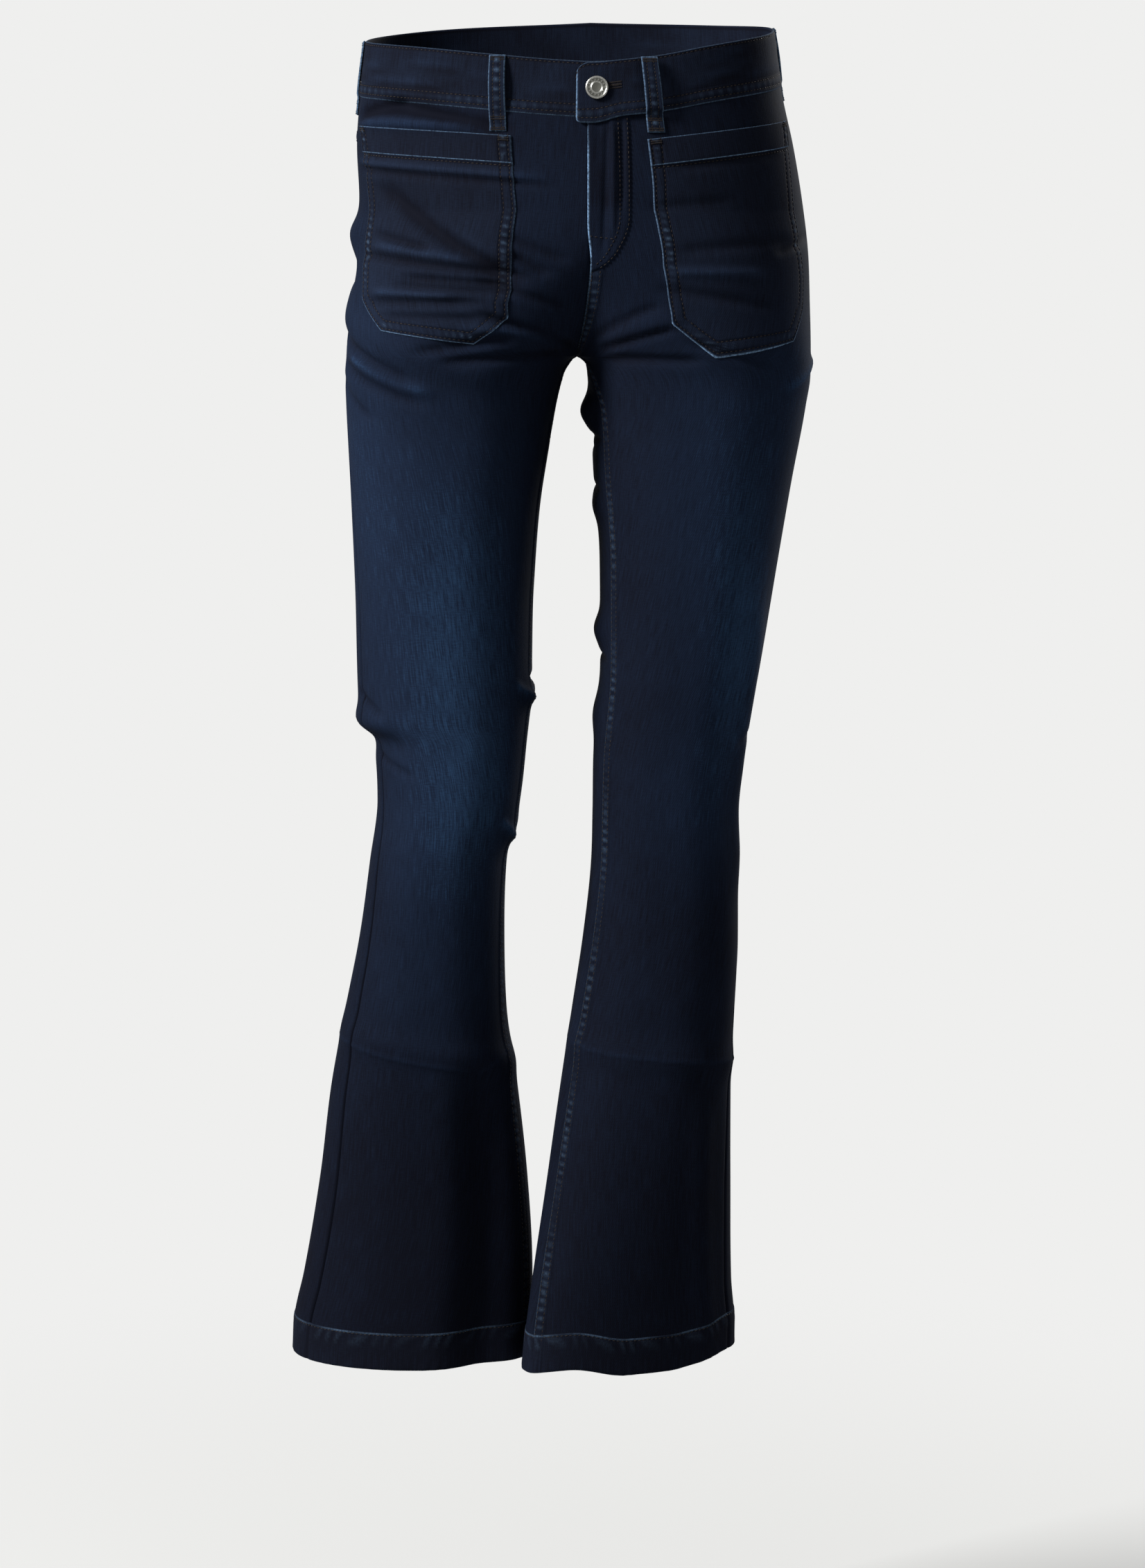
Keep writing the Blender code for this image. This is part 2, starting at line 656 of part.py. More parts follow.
def band_stations():
    """(side, g, how much it laps over, how far it droops) from the lap's tip right round."""
    places = [("right", -LAP_END * share, LAP_END * share) for share in LAP_END_STATIONS]
    around = np.linspace(0, 2, BAND_STATIONS)
    places += [("left", g, g) for g in around]
    upper = [(side, g, lap_share(past), 1 - soft_step(past / UNDER_END)) for side, g, past in places]
    under = [("right", g, 0, 0) for g in around[::-1][1:]]
    under += [("left", UNDER_END / 2, 0, 0), ("left", UNDER_END, 0, 0)]
    return upper + under


def make_waistband(mat):
    """One strip round the waist, from its upper end at the lap round to its under end."""
    down, proud = np.array(BAND_PROFILE).T
    depth = BAND_THICK - 2 * BAND_PROUD * (1 - proud)
    outer, inner = [], []
    for i, (side, g, over, droop) in enumerate(band_stations()):
        corner = LAP_CORNER if i == 0 else 0
        top = waist_edge(side, g) - LAP_TOP_DROOP * droop - corner
        bottom = waist_edge(side, g) - BAND_HEIGHT - LAP_DROOP * droop
        z = top + (bottom - top) * down
        lift = over * (BAND_THICK + SEAM_GAP) + BAND_PROUD * proud
        outer.append(cloth(side, z, g, lift))
        inner.append(cloth(side, z, g, lift - depth))
    outer, inner = np.array(outer).swapaxes(0, 1), np.array(inner).swapaxes(0, 1)
    return wall("waistband", outer, inner, mat)


def make_loop(name, side, g_top, g_foot, bow, mat):
    """A belt loop: a strip sewn on above and below the waistband, bowed out between."""
    shares = np.array(LOOP_ROWS)
    top = waist_edge(side, g_top) - LOOP_TOP_CLEAR
    foot = waist_edge(side, g_foot) - BAND_HEIGHT - LOOP_FOOT
    z = top + (foot - top) * shares
    on_band = z > foot + LOOP_FOOT - SEAM_GAP
    seat = np.where(on_band, band_lift(side, g_top - LOOP_SEAT_CLEAR), 0) + SEAM_GAP
    lift = seat + bow * np.sqrt(np.maximum(np.sin(np.pi * soft_step(shares)), 0))
    at_back = g_top == 2
    outer, inner = [], []
    for offset in (-LOOP_WIDTH / 2, 0, LOOP_WIDTH / 2):
        half = "right" if at_back and offset <= 0 else side
        offset = -abs(offset) if at_back else offset
        length = face_length(half, LOOP_LEVEL, 0 if g_top < 1 else 1)
        g = g_top + (g_foot - g_top) * shares + offset / length
        outer.append(cloth(half, z, g, lift + LOOP_THICK))
        inner.append(cloth(half, z, g, lift))
    outer, inner = np.array(outer).swapaxes(0, 1), np.array(inner).swapaxes(0, 1)
    return wall(name, outer, inner, mat, flip=side == "right" or at_back)


def make_button(mat):
    """A domed metal disc that rests on the waistband's upper end."""
    z, g = np.array([BUTTON_HEIGHT]), np.array([BUTTON_G])
    seat = BAND_PROUD + BAND_THICK + 2 * SEAM_GAP
    place = cloth("left", z, g, seat)[0]
    axis = normals("left", z, g)[0]
    points, faces = [], []
    rings = len(BUTTON_PROFILE)
    for radius, height in BUTTON_PROFILE:
        for k in range(BUTTON_SIDES):
            turn = 2 * math.pi * k / BUTTON_SIDES
            points.append((radius * MM * math.cos(turn), radius * MM * math.sin(turn), height * MM))
    for r in range(rings - 1):
        for k in range(BUTTON_SIDES):
            a, b = r * BUTTON_SIDES + k, r * BUTTON_SIDES + (k + 1) % BUTTON_SIDES
            faces.append((a, b, b + BUTTON_SIDES, a + BUTTON_SIDES))
    faces.append(tuple(range(BUTTON_SIDES))[::-1])
    faces.append(tuple(range((rings - 1) * BUTTON_SIDES, rings * BUTTON_SIDES)))
    obj = add_object("button", points, faces, mat)
    obj.rotation_euler = Vector(axis).to_track_quat("Z", "Y").to_euler()
    obj.location = place
    return obj


def clear_scene():
    """Removes what a new scene starts with."""
    for obj in list(bpy.data.objects):
        bpy.data.objects.remove(obj, do_unlink=True)


def main():
    """Builds every piece: the panels first, then what is sewn on them."""
    clear_scene()
    denim = material("dark indigo denim", (0.012, 0.018, 0.042), 0.85)
    trim = material("dark indigo denim, doubled", (0.016, 0.024, 0.055), 0.85)
    metal = material("nickel-plated brass", (0.62, 0.61, 0.58), 0.3, 1.0)
    for side in SIDES:
        make_panel(f"front_{side}", side, "front", denim)
        make_panel(f"back_{side}", side, "back", denim)
        make_yoke(f"yoke_{side}", side, denim)
        make_hem(f"hem_{side}", side, trim)
        make_pocket(f"pocket_band_{side}", side, slice(0, 2), POCKET_BAND_CLOTH, trim)
        make_pocket(f"pocket_{side}", side, slice(1, None), POCKET_CLOTH, denim)
    make_fly_lap(denim)
    make_waistband(trim)
    for number, (side, g_top, g_foot, bow) in enumerate(LOOPS, start=1):
        make_loop(f"belt_loop_{number}", side, g_top, g_foot, bow * MM, trim)
    make_button(metal)


main()
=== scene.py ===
# %% [markdown]
# # Bootcut jeans, empty, in the shape they keep when worn
#
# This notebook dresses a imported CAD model. The CAD solids give every piece of cloth its
# place. Here each piece is made again on the same form, finer, with its folds, seams,
# stitches and wear. Lengths are in metres, +Z is up and the front faces -Y.

# %% Load the frame that everything is placed in
import math

import bpy
import numpy as np
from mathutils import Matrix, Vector


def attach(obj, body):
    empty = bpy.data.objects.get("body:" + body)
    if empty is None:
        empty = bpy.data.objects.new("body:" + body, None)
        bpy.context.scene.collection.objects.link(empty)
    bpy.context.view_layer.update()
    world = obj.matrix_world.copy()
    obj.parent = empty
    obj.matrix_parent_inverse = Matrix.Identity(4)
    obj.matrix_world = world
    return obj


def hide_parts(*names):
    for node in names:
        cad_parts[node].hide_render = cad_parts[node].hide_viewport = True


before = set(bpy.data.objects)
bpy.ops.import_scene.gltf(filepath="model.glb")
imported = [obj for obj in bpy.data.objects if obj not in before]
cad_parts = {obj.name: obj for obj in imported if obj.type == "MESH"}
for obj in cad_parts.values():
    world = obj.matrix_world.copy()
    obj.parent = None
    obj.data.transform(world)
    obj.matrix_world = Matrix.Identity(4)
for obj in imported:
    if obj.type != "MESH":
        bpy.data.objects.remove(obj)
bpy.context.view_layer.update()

MM = 0.001
print("nodes in the frame:", len(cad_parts))

# %% [markdown]
# ## Helpers
#
# A garment's form is a set of sizes that change with height, so it is kept in short tables.
# A curve that never overshoots is drawn through each column.


# %% Tables and curves
def table(names, *rows):
    """Named columns of a table whose rows are in millimetres, as arrays in metres."""
    return dict(zip(names.split(), np.array(rows, float).T * MM))


def smooth(x, xs, ys):
    """A curve through the points (xs, ys), with no overshoot, read at x."""
    if xs[0] > xs[-1]:
        xs, ys = xs[::-1], ys[::-1]
    step = np.diff(xs)
    rise = np.diff(ys) / step
    limit = 2.5 * np.minimum(np.abs(rise[:-1]), np.abs(rise[1:]))
    limit[rise[:-1] * rise[1:] <= 0] = 0
    slope = (rise[:-1] * step[1:] + rise[1:] * step[:-1]) / (step[:-1] + step[1:])
    slope = np.concatenate([rise[:1], np.clip(slope, -limit, limit), rise[-1:]])
    x = np.clip(x, xs[0], xs[-1])
    i = np.clip(np.searchsorted(xs, x) - 1, 0, len(xs) - 2)
    t = (x - xs[i]) / step[i]
    bend = t * (1 - t) * step[i] * ((1 - t) * slope[i] - t * slope[i + 1])
    return ys[i] + (ys[i + 1] - ys[i]) * soft_step(t) + bend


def follow(pairs, x):
    """The curve through a table of pairs, read at x, in the table's own units."""
    return smooth(x, *np.array(pairs, float).T)


def soft_step(x):
    """0 below 0, 1 above 1, and a smooth rise between."""
    x = np.clip(x, 0, 1)
    return x * x * (3 - 2 * x)


def bell(x):
    """1 at 0, falling smoothly to nothing about 2 away."""
    return np.exp(-x * x)


# %% [markdown]
# ## The form of the worn garment
#
# Trousers are two tubes that join above the crotch. Each half is a stack of rounded
# sections, squarer than an ellipse. A place on the cloth is (side, g, z): g runs from 0 at
# the centre front or inseam, by 1 at the outseam, to 2 at the centre back or inseam again.

# %% Sizes of the sections, millimetres
SIDES = {"right": -1, "left": 1}
CENTRE_LAP = 0.25 * MM  # each half passes the centre line by this, so that no light comes through
RISE_START = -130 * MM
CROTCH = -241 * MM
SQUARE = 2.3  # 2 is an ellipse, and more is squarer
# The inner thigh bulges where it leaves the crotch: how far, over what height, and where
ARCH, ARCH_START, ARCH_END = 7 * MM, 3 * MM, 45 * MM
ARCH_FROM = 0.25

PELVIS = table(
    "height right left front middle back",
    (30, 163, 147, -96, 0, 104), (0, 165, 151, -98, 0, 105), (-40, 170, 157, -101, 2, 108),
    (-80, 173, 166, -106, 4, 117), (-120, 171.5, 173, -109, 5, 128),
    (-160, 175.5, 178, -108, 4, 135), (-200, 179, 179.5, -103, 0, 132),
)
CENTRE = ((30, 9), (-60, 9), (-150, 9), (-185, 7.5), (-213, 4), (-241, -2))
LEG = {
    "right": table(
        "height outer inner front middle back twist",
        (-241, 181.5, 2, -97, -11, 118, 0), (-256, 183, 7, -94, -5, 110, 0),
        (-280, 182.5, 15.2, -90, 0, 102, 0), (-340, 180, 28.5, -86, 4, 92, 0),
        (-420, 177, 36, -80, 6, 82, 0), (-524, 174, 39.5, -75, 0, 71, 0),
        (-542, 163.5, 41.5, -74, -2, 68, 0), (-590, 160, 47, -72, -2, 63, 0),
        (-640, 166.4, 58, -68, 0, 62, 0), (-700, 175, 60, -61, 2, 64, 0),
        (-760, 187, 58.5, -57, 5, 67, 0), (-820, 198.5, 50.5, -55, 8, 70, 0),
        (-900, 209, 42, -54, 10, 74, 0), (-980, 223, 38, -56, 10, 76, 0),
        (-1015, 230.5, 38, -57, 10, 76, 0), (-1060, 232, 38, -58, 9, 76, 0),
    ),
    "left": table(
        "height outer inner front middle back twist",
        (-241, 180, 2, -97, -11, 118, 0), (-256, 180, 0, -94, -8, 110, 0),
        (-280, 176.8, -5.7, -92, -4, 101, 0), (-340, 166, -11.5, -88, -2, 89, 0),
        (-400, 156, -16, -83, -2, 80, 0), (-480, 143, -16.5, -77, -4, 71, 0),
        (-560, 129, -11, -71, -6, 62, 0), (-600, 124.5, -10.5, -69, -7, 59, 0),
        (-640, 125.5, -9.4, -67, -8, 57, 0), (-700, 126, -3, -66, -8, 56, 0),
        (-760, 123.5, 6, -66, -8, 56, 2), (-820, 121, 15, -69, -9, 57, 10),
        (-900, 121.5, 26.5, -70, -12, 60, 26), (-980, 122.5, 38.5, -70, -22, 64, 46),
        (-1015, 125, 43, -70, -26, 65, 53), (-1060, 124.5, 47, -70, -30, 66, 60),
    ),
}
# Where each leg's seams lie, in degrees round to the front, by height
INSEAM = {
    "right": ((-241, 0), (-256, 5), (-280, 9), (-340, 10), (-560, 11), (-700, 13.5), (-900, 16)),
    "left": (
        (-241, 0), (-246, 9), (-256, 19), (-270, 25), (-295, 29), (-400, 31), (-560, 32.5),
        (-700, 31), (-820, 28.5), (-980, 25), (-1060, 24),
    ),
}
OUTSEAM = {
    "right": (
        (-200, 0), (-260, 5), (-340, 14), (-420, 21), (-540, 25), (-590, 28), (-640, 32),
        (-700, 35), (-820, 36.5), (-900, 37), (-1060, 32),
    ),
    "left": ((-200, -2), (-340, -6), (-620, -6), (-700, 0), (-760, 9), (-820, 17), (-900, 23)),
}


# %% Sections at given heights
def section_curves(side, z, low, samples):
    """x and y round the front (low 0) or back (low 1) of one half, a row for each height."""
    z = z[:, None]
    sign, leg, above = SIDES[side], LEG[side], z > CROTCH
    heights = np.concatenate([PELVIS["height"], leg["height"]])
    front, middle, back, outer = (
        smooth(z, heights, np.concatenate([PELVIS[name], leg.get(name, leg["outer"])]))
        for name in ("front", "middle", "back", side)
    )
    inner = np.where(above, follow(CENTRE, z / MM) * MM, -smooth(z, leg["height"], leg["inner"]))
    inner = inner - sign * CENTRE_LAP
    share = np.clip((RISE_START - z) / (RISE_START - CROTCH), 0, 1)
    half = np.abs(sign * outer - inner) / (1 + share)
    below = np.maximum(CROTCH - z, 0)
    arch = ARCH * (1 - np.exp(-below / ARCH_START)) * bell(below / ARCH_END)
    cut = np.arccos(share ** (SQUARE / 2))
    inseam, outseam = (np.radians(follow(seam[side], z / MM)) for seam in (INSEAM, OUTSEAM))
    seam = np.pi - outseam
    start, end = np.where(above, cut, inseam), 2 * np.pi + np.where(above, -cut, inseam)
    first, last = (seam, end) if low else (start, seam)
    angle = first + (last - first) * np.linspace(0, 1, samples)
    cosine, sine = np.cos(angle), np.sin(angle)
    outward = -np.sign(cosine) * np.abs(cosine) ** (2 / SQUARE)
    near_inner = np.clip((-outward - ARCH_FROM) / (1 - ARCH_FROM), 0, 1) ** 2
    x = inner + sign * (share * half + half * outward + arch * near_inner)
    y = middle + smooth(z, leg["height"], leg["twist"]) * outward / 2
    return x, y + np.abs(sine) ** (2 / SQUARE) * np.where(sine > 0, front - middle, back - middle)


# %% [markdown]
# Every piece reads the form at thousands of places, so each face of each half is worked out
# once, as a grid that is even along the cloth. A place is then read between four points of
# that grid, and so is the direction that faces out of the cloth.

# %% The form as four grids
LEVEL_STEP = 1.6 * MM
STATIONS = 181
SECTION_SAMPLES = 241
CROTCH_REACH = 12 * MM
CROTCH_LEVELS = 18
CALM_REACH = 14 * MM  # within this of the crotch, directions are read across it
EVEN_REACH = 34 * MM  # within this of the crotch, an even girth is led across it

crotch_steps = np.arange(-CROTCH_LEVELS, CROTCH_LEVELS + 1) / CROTCH_LEVELS
crotch_levels = CROTCH + CROTCH_REACH * crotch_steps * np.abs(crotch_steps)
LEVELS = np.unique(np.concatenate([np.arange(-1.062, 0.034, LEVEL_STEP), crotch_levels]))


def make_face(side, low):
    """One face's plain surface, before folds: its points, directions out and girth."""
    x, y = section_curves(side, LEVELS, low, SECTION_SAMPLES)
    steps = np.hypot(np.diff(x, axis=1), np.diff(y, axis=1))
    length = np.concatenate([np.zeros((len(LEVELS), 1)), np.cumsum(steps, axis=1)], axis=1)
    place = np.linspace(0, 1, STATIONS)
    points = np.array([
        np.stack([np.interp(place * row[-1], row, x[i]), np.interp(place * row[-1], row, y[i]),
                  np.full(STATIONS, LEVELS[i])], axis=1) for i, row in enumerate(length)
    ])
    out = np.cross(np.gradient(points, axis=1), np.gradient(points, LEVELS, axis=0)) * SIDES[side]
    out /= np.linalg.norm(out, axis=2, keepdims=True)
    # At the crotch the rows slide fast round the leg, so there the directions are read across
    first, last = np.searchsorted(LEVELS, (CROTCH - CALM_REACH, CROTCH + CALM_REACH))
    share = ((LEVELS[first:last] - LEVELS[first]) / (LEVELS[last] - LEVELS[first]))[:, None, None]
    calm = out[first] * (1 - share) + out[last] * share
    calm_share = soft_step(((1 - place if low else place) - 0.08) / 0.12)[None, :, None]
    out[first:last] += (calm - out[first:last]) * calm_share
    out /= np.linalg.norm(out, axis=2, keepdims=True)
    return {"points": points, "out": out, "girth": length[:, -1]}


FACES = {(side, low): make_face(side, low) for side in SIDES for low in (0, 1)}


def read(side, z, g, key):
    """Points or directions out of the plain surface at flat arrays z and g."""
    result = np.empty((len(z), 3))
    row = np.clip(np.interp(z, LEVELS, np.arange(len(LEVELS))), 0, len(LEVELS) - 1.001)
    for low in (0, 1):
        chosen = (g > 1) == bool(low)
        values, r = FACES[side, low][key], row[chosen]
        c = np.clip((g[chosen] - low) * (STATIONS - 1), 0, STATIONS - 1.001)
        i, j = r.astype(int), c.astype(int)
        u, v = (r - i)[:, None], (c - j)[:, None]
        upper, lower = (values[k, j] * (1 - v) + values[k, j + 1] * v for k in (i, i + 1))
        result[chosen] = upper * (1 - u) + lower * u
    return result


def girth(side, z, low=0, even=False):
    """Length of the front (low 0) or back (low 1) cloth round at heights z.

    Even leads it past the crotch, where the true one turns sharply.
    """
    kept = np.abs(LEVELS - CROTCH) > (EVEN_REACH if even else -1)
    return np.interp(z, LEVELS[kept], FACES[side, low]["girth"][kept])


print("sections:", len(LEVELS), "hip girth:", round(sum(girth(s, -0.2, f) for s, f in FACES), 3))

# %% [markdown]
# ## Folds
#
# Cloth that is worn creases where it bends and where it is pulled. A fold here is a soft
# ridge (+) or trough (-) that runs from one place on the cloth to another and fades at its
# ends. The large ones are in the CAD solids too. The fine ones are laid one by one as the
# photograph shows them, uneven in length, depth and spacing, with like ones at the back.

# %% Large folds: g and height at each end, width and depth in millimetres
FOLDS = {
    "right": (
        # At the hip, across the pocket, under the waistband and from the hip to the crotch
        (0.90, -148, 1.15, -142, 12, 5), (0.92, -176, 1.12, -172, 11, -5),
        (0.90, -212, 1.18, -206, 16, 3), (0.64, -119, 0.33, -175, 12, -2.5),
        (0.80, -57, 0.36, -66, 9, 2), (0.78, -223, 0.40, -253, 11, 2.5),
        # The ledge over the knee, inside it, across the calf and down to the hem
        (0.86, -524, 1.25, -526, 10, 3), (0.84, -543, 1.20, -545, 9, -2),
        (1.80, -505, 2.05, -505, 11, 3), (1.85, -612, 2.10, -612, 12, 2.5),
        (0.05, -800, 0.95, -778, 12, 2.5), (0.25, -850, 0.25, -1043, 26, -12),
        # Behind the knee, under the seat and down the back of the leg
        (1.30, -560, 1.72, -552, 14, -4), (1.28, -590, 1.70, -598, 13, -3),
        (1.25, -258, 1.80, -282, 15, -4), (1.55, -880, 1.50, -1043, 30, -6),
    ),
    "left": (
        # From the crotch up to the pocket, and inside the thigh
        (0.12, -226, 0.28, -213, 10, 2), (1.62, -281, 1.90, -285, 13, 8.5),
        (1.64, -356, 1.90, -359, 11, 3), (1.62, -452, 1.90, -457, 11, 5),
        (1.62, -520, 1.90, -523, 16, 3.2),
        # Beside the knee, across the calf and down to the hem
        (0.72, -470, 0.82, -625, 15, 3), (0.10, -783, 0.92, -797, 12, 2.5),
        (0.78, -859, 0.84, -1010, 14, 3),
        # Behind the knee, under the seat and down the back of the leg
        (1.28, -548, 1.66, -556, 14, -4), (1.30, -585, 1.70, -580, 13, -3),
        (1.22, -262, 1.62, -292, 15, -4), (1.45, -900, 1.48, -1043, 28, -5),
    ),
}

# %% Fine folds, in the same columns
FINE_FOLDS = {
    "right": (
        # Under the waistband, and under the pocket's band
        (0.83, -56, 0.66, -50, 4.5, -1.8), (0.66, -51, 0.34, -66, 5.0, -1.8),
        (0.80, -63, 0.42, -66, 4.5, 1.0), (0.77, -94, 0.27, -104, 3.4, 0.8),
        (0.77, -99, 0.26, -109, 3.0, -0.8),
        # Across the pocket
        (0.70, -112, 0.36, -158, 5.0, 1.0), (0.66, -119, 0.30, -172, 6.0, -2.1),
        (0.69, -149, 0.54, -157, 3.2, -1.1), (0.66, -158, 0.40, -166, 4.0, 0.8),
        (0.70, -165, 0.29, -177, 3.6, -1.3), (0.53, -181, 0.28, -185, 3.2, -1.1),
        (0.55, -187, 0.29, -191, 3.2, -1.0), (0.66, -192, 0.46, -194, 3.4, 0.8),
        (0.68, -199, 0.40, -199, 3.6, -1.1), (0.62, -210, 0.40, -211, 3.4, -0.8),
        # Beside the fly, and from the crotch
        (0.24, -152, 0.11, -165, 3.6, -0.8), (0.23, -165, 0.15, -176, 3.4, -1.0),
        (0.30, -186, 0.11, -201, 3.6, -0.9), (0.30, -212, 0.07, -231, 3.6, -1.2),
        (0.36, -219, 0.12, -226, 3.4, 0.7), (0.44, -243, 0.13, -239, 4.0, -1.2),
        (0.54, -235, 0.32, -227, 4.0, -1.1),
        # From the hip
        (0.98, -223, 0.66, -255, 5.0, -1.8), (0.83, -243, 0.60, -263, 4.5, 1.3),
        (0.90, -250, 0.64, -272, 4.0, -1.2), (0.98, -262, 0.80, -284, 3.6, -0.9),
        # Round the knee, and the crease across the calf
        (1.00, -505, 0.86, -516, 3.6, -1.0), (0.98, -552, 0.78, -563, 3.2, -0.8),
        (0.16, -498, 0.02, -508, 3.4, 0.9), (0.18, -606, 0.02, -618, 3.6, 0.9),
        (1.00, -783, 0.44, -799, 1.5, 0.35), (0.04, -790, 0.24, -803, 1.5, 0.30),
        # Behind the knee
        (1.76, -498, 1.98, -494, 3.6, -1.1), (1.30, -572, 1.66, -566, 3.4, -1.2),
        (1.36, -548, 1.74, -538, 3.2, -0.9), (1.28, -612, 1.60, -624, 3.6, -1.0),
        # Under the seat and over it
        (1.20, -246, 1.62, -262, 4.6, -1.6), (1.35, -276, 1.84, -296, 4.8, -1.5),
        (1.50, -236, 1.86, -246, 4.4, 1.0), (1.16, -120, 1.40, -134, 4.6, -1.1),
        (1.14, -168, 1.36, -176, 4.4, 0.9), (1.88, -150, 1.66, -168, 4.6, -1.0),
    ),
    "left": (
        # Across the pocket, and down the fly
        (0.34, -97, 0.62, -89, 3.6, -0.45), (0.24, -127, 0.43, -123, 3.8, -0.4),
        (0.34, -159, 0.63, -153, 4.4, -0.6), (0.30, -176, 0.52, -177, 3.8, 0.7),
        (0.29, -191, 0.56, -201, 4.4, -0.7), (0.106, -73, 0.100, -119, 1.9, -0.7),
        (0.075, -77, 0.070, -135, 1.8, 0.5), (0.052, -77, 0.040, -143, 2.0, -0.5),
        # From the crotch, and beside the pocket
        (0.06, -222, 0.20, -205, 3.0, -0.9), (0.09, -233, 0.26, -221, 3.2, -1.3),
        (0.12, -242, 0.34, -243, 4.2, -1.1), (0.40, -232, 0.58, -247, 3.6, -0.8),
        (0.86, -150, 0.66, -160, 3.6, -0.8), (0.92, -246, 0.72, -262, 3.6, 0.8),
        # The knee, the crease across the calf, and inside the thigh
        (0.90, -530, 0.74, -541, 3.4, -0.7), (0.10, -783, 0.95, -797, 1.5, 0.30),
        (1.66, -296, 1.92, -304, 3.4, -1.2), (1.68, -338, 1.90, -344, 3.2, -0.8),
        (1.64, -470, 1.90, -476, 3.4, -1.0),
        # Behind the knee
        (1.30, -566, 1.64, -562, 3.4, -1.2), (1.34, -536, 1.68, -542, 3.2, -0.9),
        (1.30, -604, 1.62, -612, 3.6, -1.0),
        # Under the seat and over it
        (1.18, -248, 1.60, -268, 4.6, -1.6), (1.30, -282, 1.78, -306, 4.8, -1.5),
        (1.14, -112, 1.42, -122, 4.6, -1.1), (1.12, -160, 1.34, -172, 4.4, 0.9),
        (1.86, -138, 1.68, -160, 4.6, -1.0),
    ),
}
FOLD_GIRTH = 200 * MM  # what 1 of g is taken to measure
FOLD_FADE = 0.35  # how far a fold fades out past its ends, as a share of its length
FINE_DEPTH = 2.5  # the fine folds are this much deeper than their table says


def relief(side, z, g, folds):
    """How far the given folds push the cloth out at flat arrays z and g."""
    total = np.zeros(len(z))
    for g1, z1, g2, z2, width, height in folds[side]:
        run = np.array([(g2 - g1) * FOLD_GIRTH, (z2 - z1) * MM])
        reach = 3 * width * MM + FOLD_FADE * np.linalg.norm(run)
        low, high = np.minimum(run, 0) - reach, np.maximum(run, 0) + reach
        for turn in (-2, 0, 2):
            u, v = (g + turn - g1) * FOLD_GIRTH, z - z1 * MM
            near = np.flatnonzero((u > low[0]) & (u < high[0]) & (v > low[1]) & (v < high[1]))
            if not len(near):
                continue
            place = np.stack([u[near], v[near]], axis=1)
            share = np.clip(place @ run / (run @ run), -FOLD_FADE, 1 + FOLD_FADE)
            away = np.linalg.norm(place - share[:, None] * run, axis=1)
            ends = soft_step(1 + share / FOLD_FADE) * soft_step(1 + (1 - share) / FOLD_FADE)
            total[near] += height * MM * ends * bell(away / (width * MM))
    return total


def even_place(side, z, g):
    """g led evenly past the crotch, so that folds and fades run on over it."""
    front, back = (girth(side, z, low) / girth(side, z, low, even=True) for low in (0, 1))
    return 1 + (g - 1) * np.where(g > 1, back, front)


def layers(side, z, g, *lifts):
    """Points on the folded cloth at (g, z), once for each height above it in lifts."""
    z, g, *lifts = (np.asarray(grid, float) for grid in np.broadcast_arrays(z, g, *lifts))
    shape, z, g = z.shape, z.ravel(), g.ravel()
    points, out = read(side, z, g, "points"), read(side, z, g, "out")
    g = even_place(side, z, g)
    fold = relief(side, z, g, FOLDS) + FINE_DEPTH * relief(side, z, g, FINE_FOLDS)
    return [(points + (lift.ravel() + fold)[:, None] * out).reshape(*shape, 3) for lift in lifts]


def cloth(side, z, g, lift=0.0):
    """Points on the folded cloth's face at (g, z), moved out by a lift."""
    return layers(side, z, g, lift)[0]


print("folds:", sum(len(FOLDS[side] + FINE_FOLDS[side]) for side in SIDES))

# %% [markdown]
# ## Wear
#
# Dark indigo denim fades where it is sanded and rubbed: in long patches down the thighs, at
# the knees, and along every edge and seam. The patches are laid as soft ovals on the cloth
# and kept with each point, so that the dye's pattern follows the cut and not the view. The
# same values also carry painted light: a paler patch on the right outer thigh where the lamp
# at the left lights it, painted highlight on fold crests, and painted shade in fold troughs
# and seam grooves.

# %% Fades: g, height in millimetres, g radius, height radius in millimetres, strength
BACK_FADES = ((1.45, -170, 0.34, 90, 0.30), (1.45, -420, 0.30, 120, 0.26))
FADES = {
    "right": (
        (0.45, -350, 0.32, 110, 0.27), (0.45, -470, 0.32, 110, 0.38),
        (0.45, -590, 0.38, 90, 0.38), (0.50, -700, 0.40, 90, 0.18),
        # (0.90, -320) is painted light: the outer thigh painted paler where the lamp at the left
        # lights it
        (0.50, -960, 1.20, 130, -0.09), (0.90, -320, 0.22, 170, 0.26),
        (0.58, -200, 0.40, 50, 0.08), (0.18, -150, 0.20, 60, 0.08), *BACK_FADES,
    ),
    "left": (
        (0.52, -330, 0.26, 110, 0.34), (0.62, -470, 0.22, 100, 0.48),
        (0.55, -590, 0.24, 70, 0.24), (0.50, -960, 1.20, 130, -0.07),
        (0.22, -160, 0.20, 70, 0.10), (0.85, -250, 0.22, 60, 0.26), *BACK_FADES,
    ),
}
# How much paler a fine fold's crest is painted (rubbed wear and painted highlight), and how much
# darker its trough (painted shade), for each millimetre
CREST_FADE_AND_HIGHLIGHT = 0.30
TROUGH_SHADE = 0.11


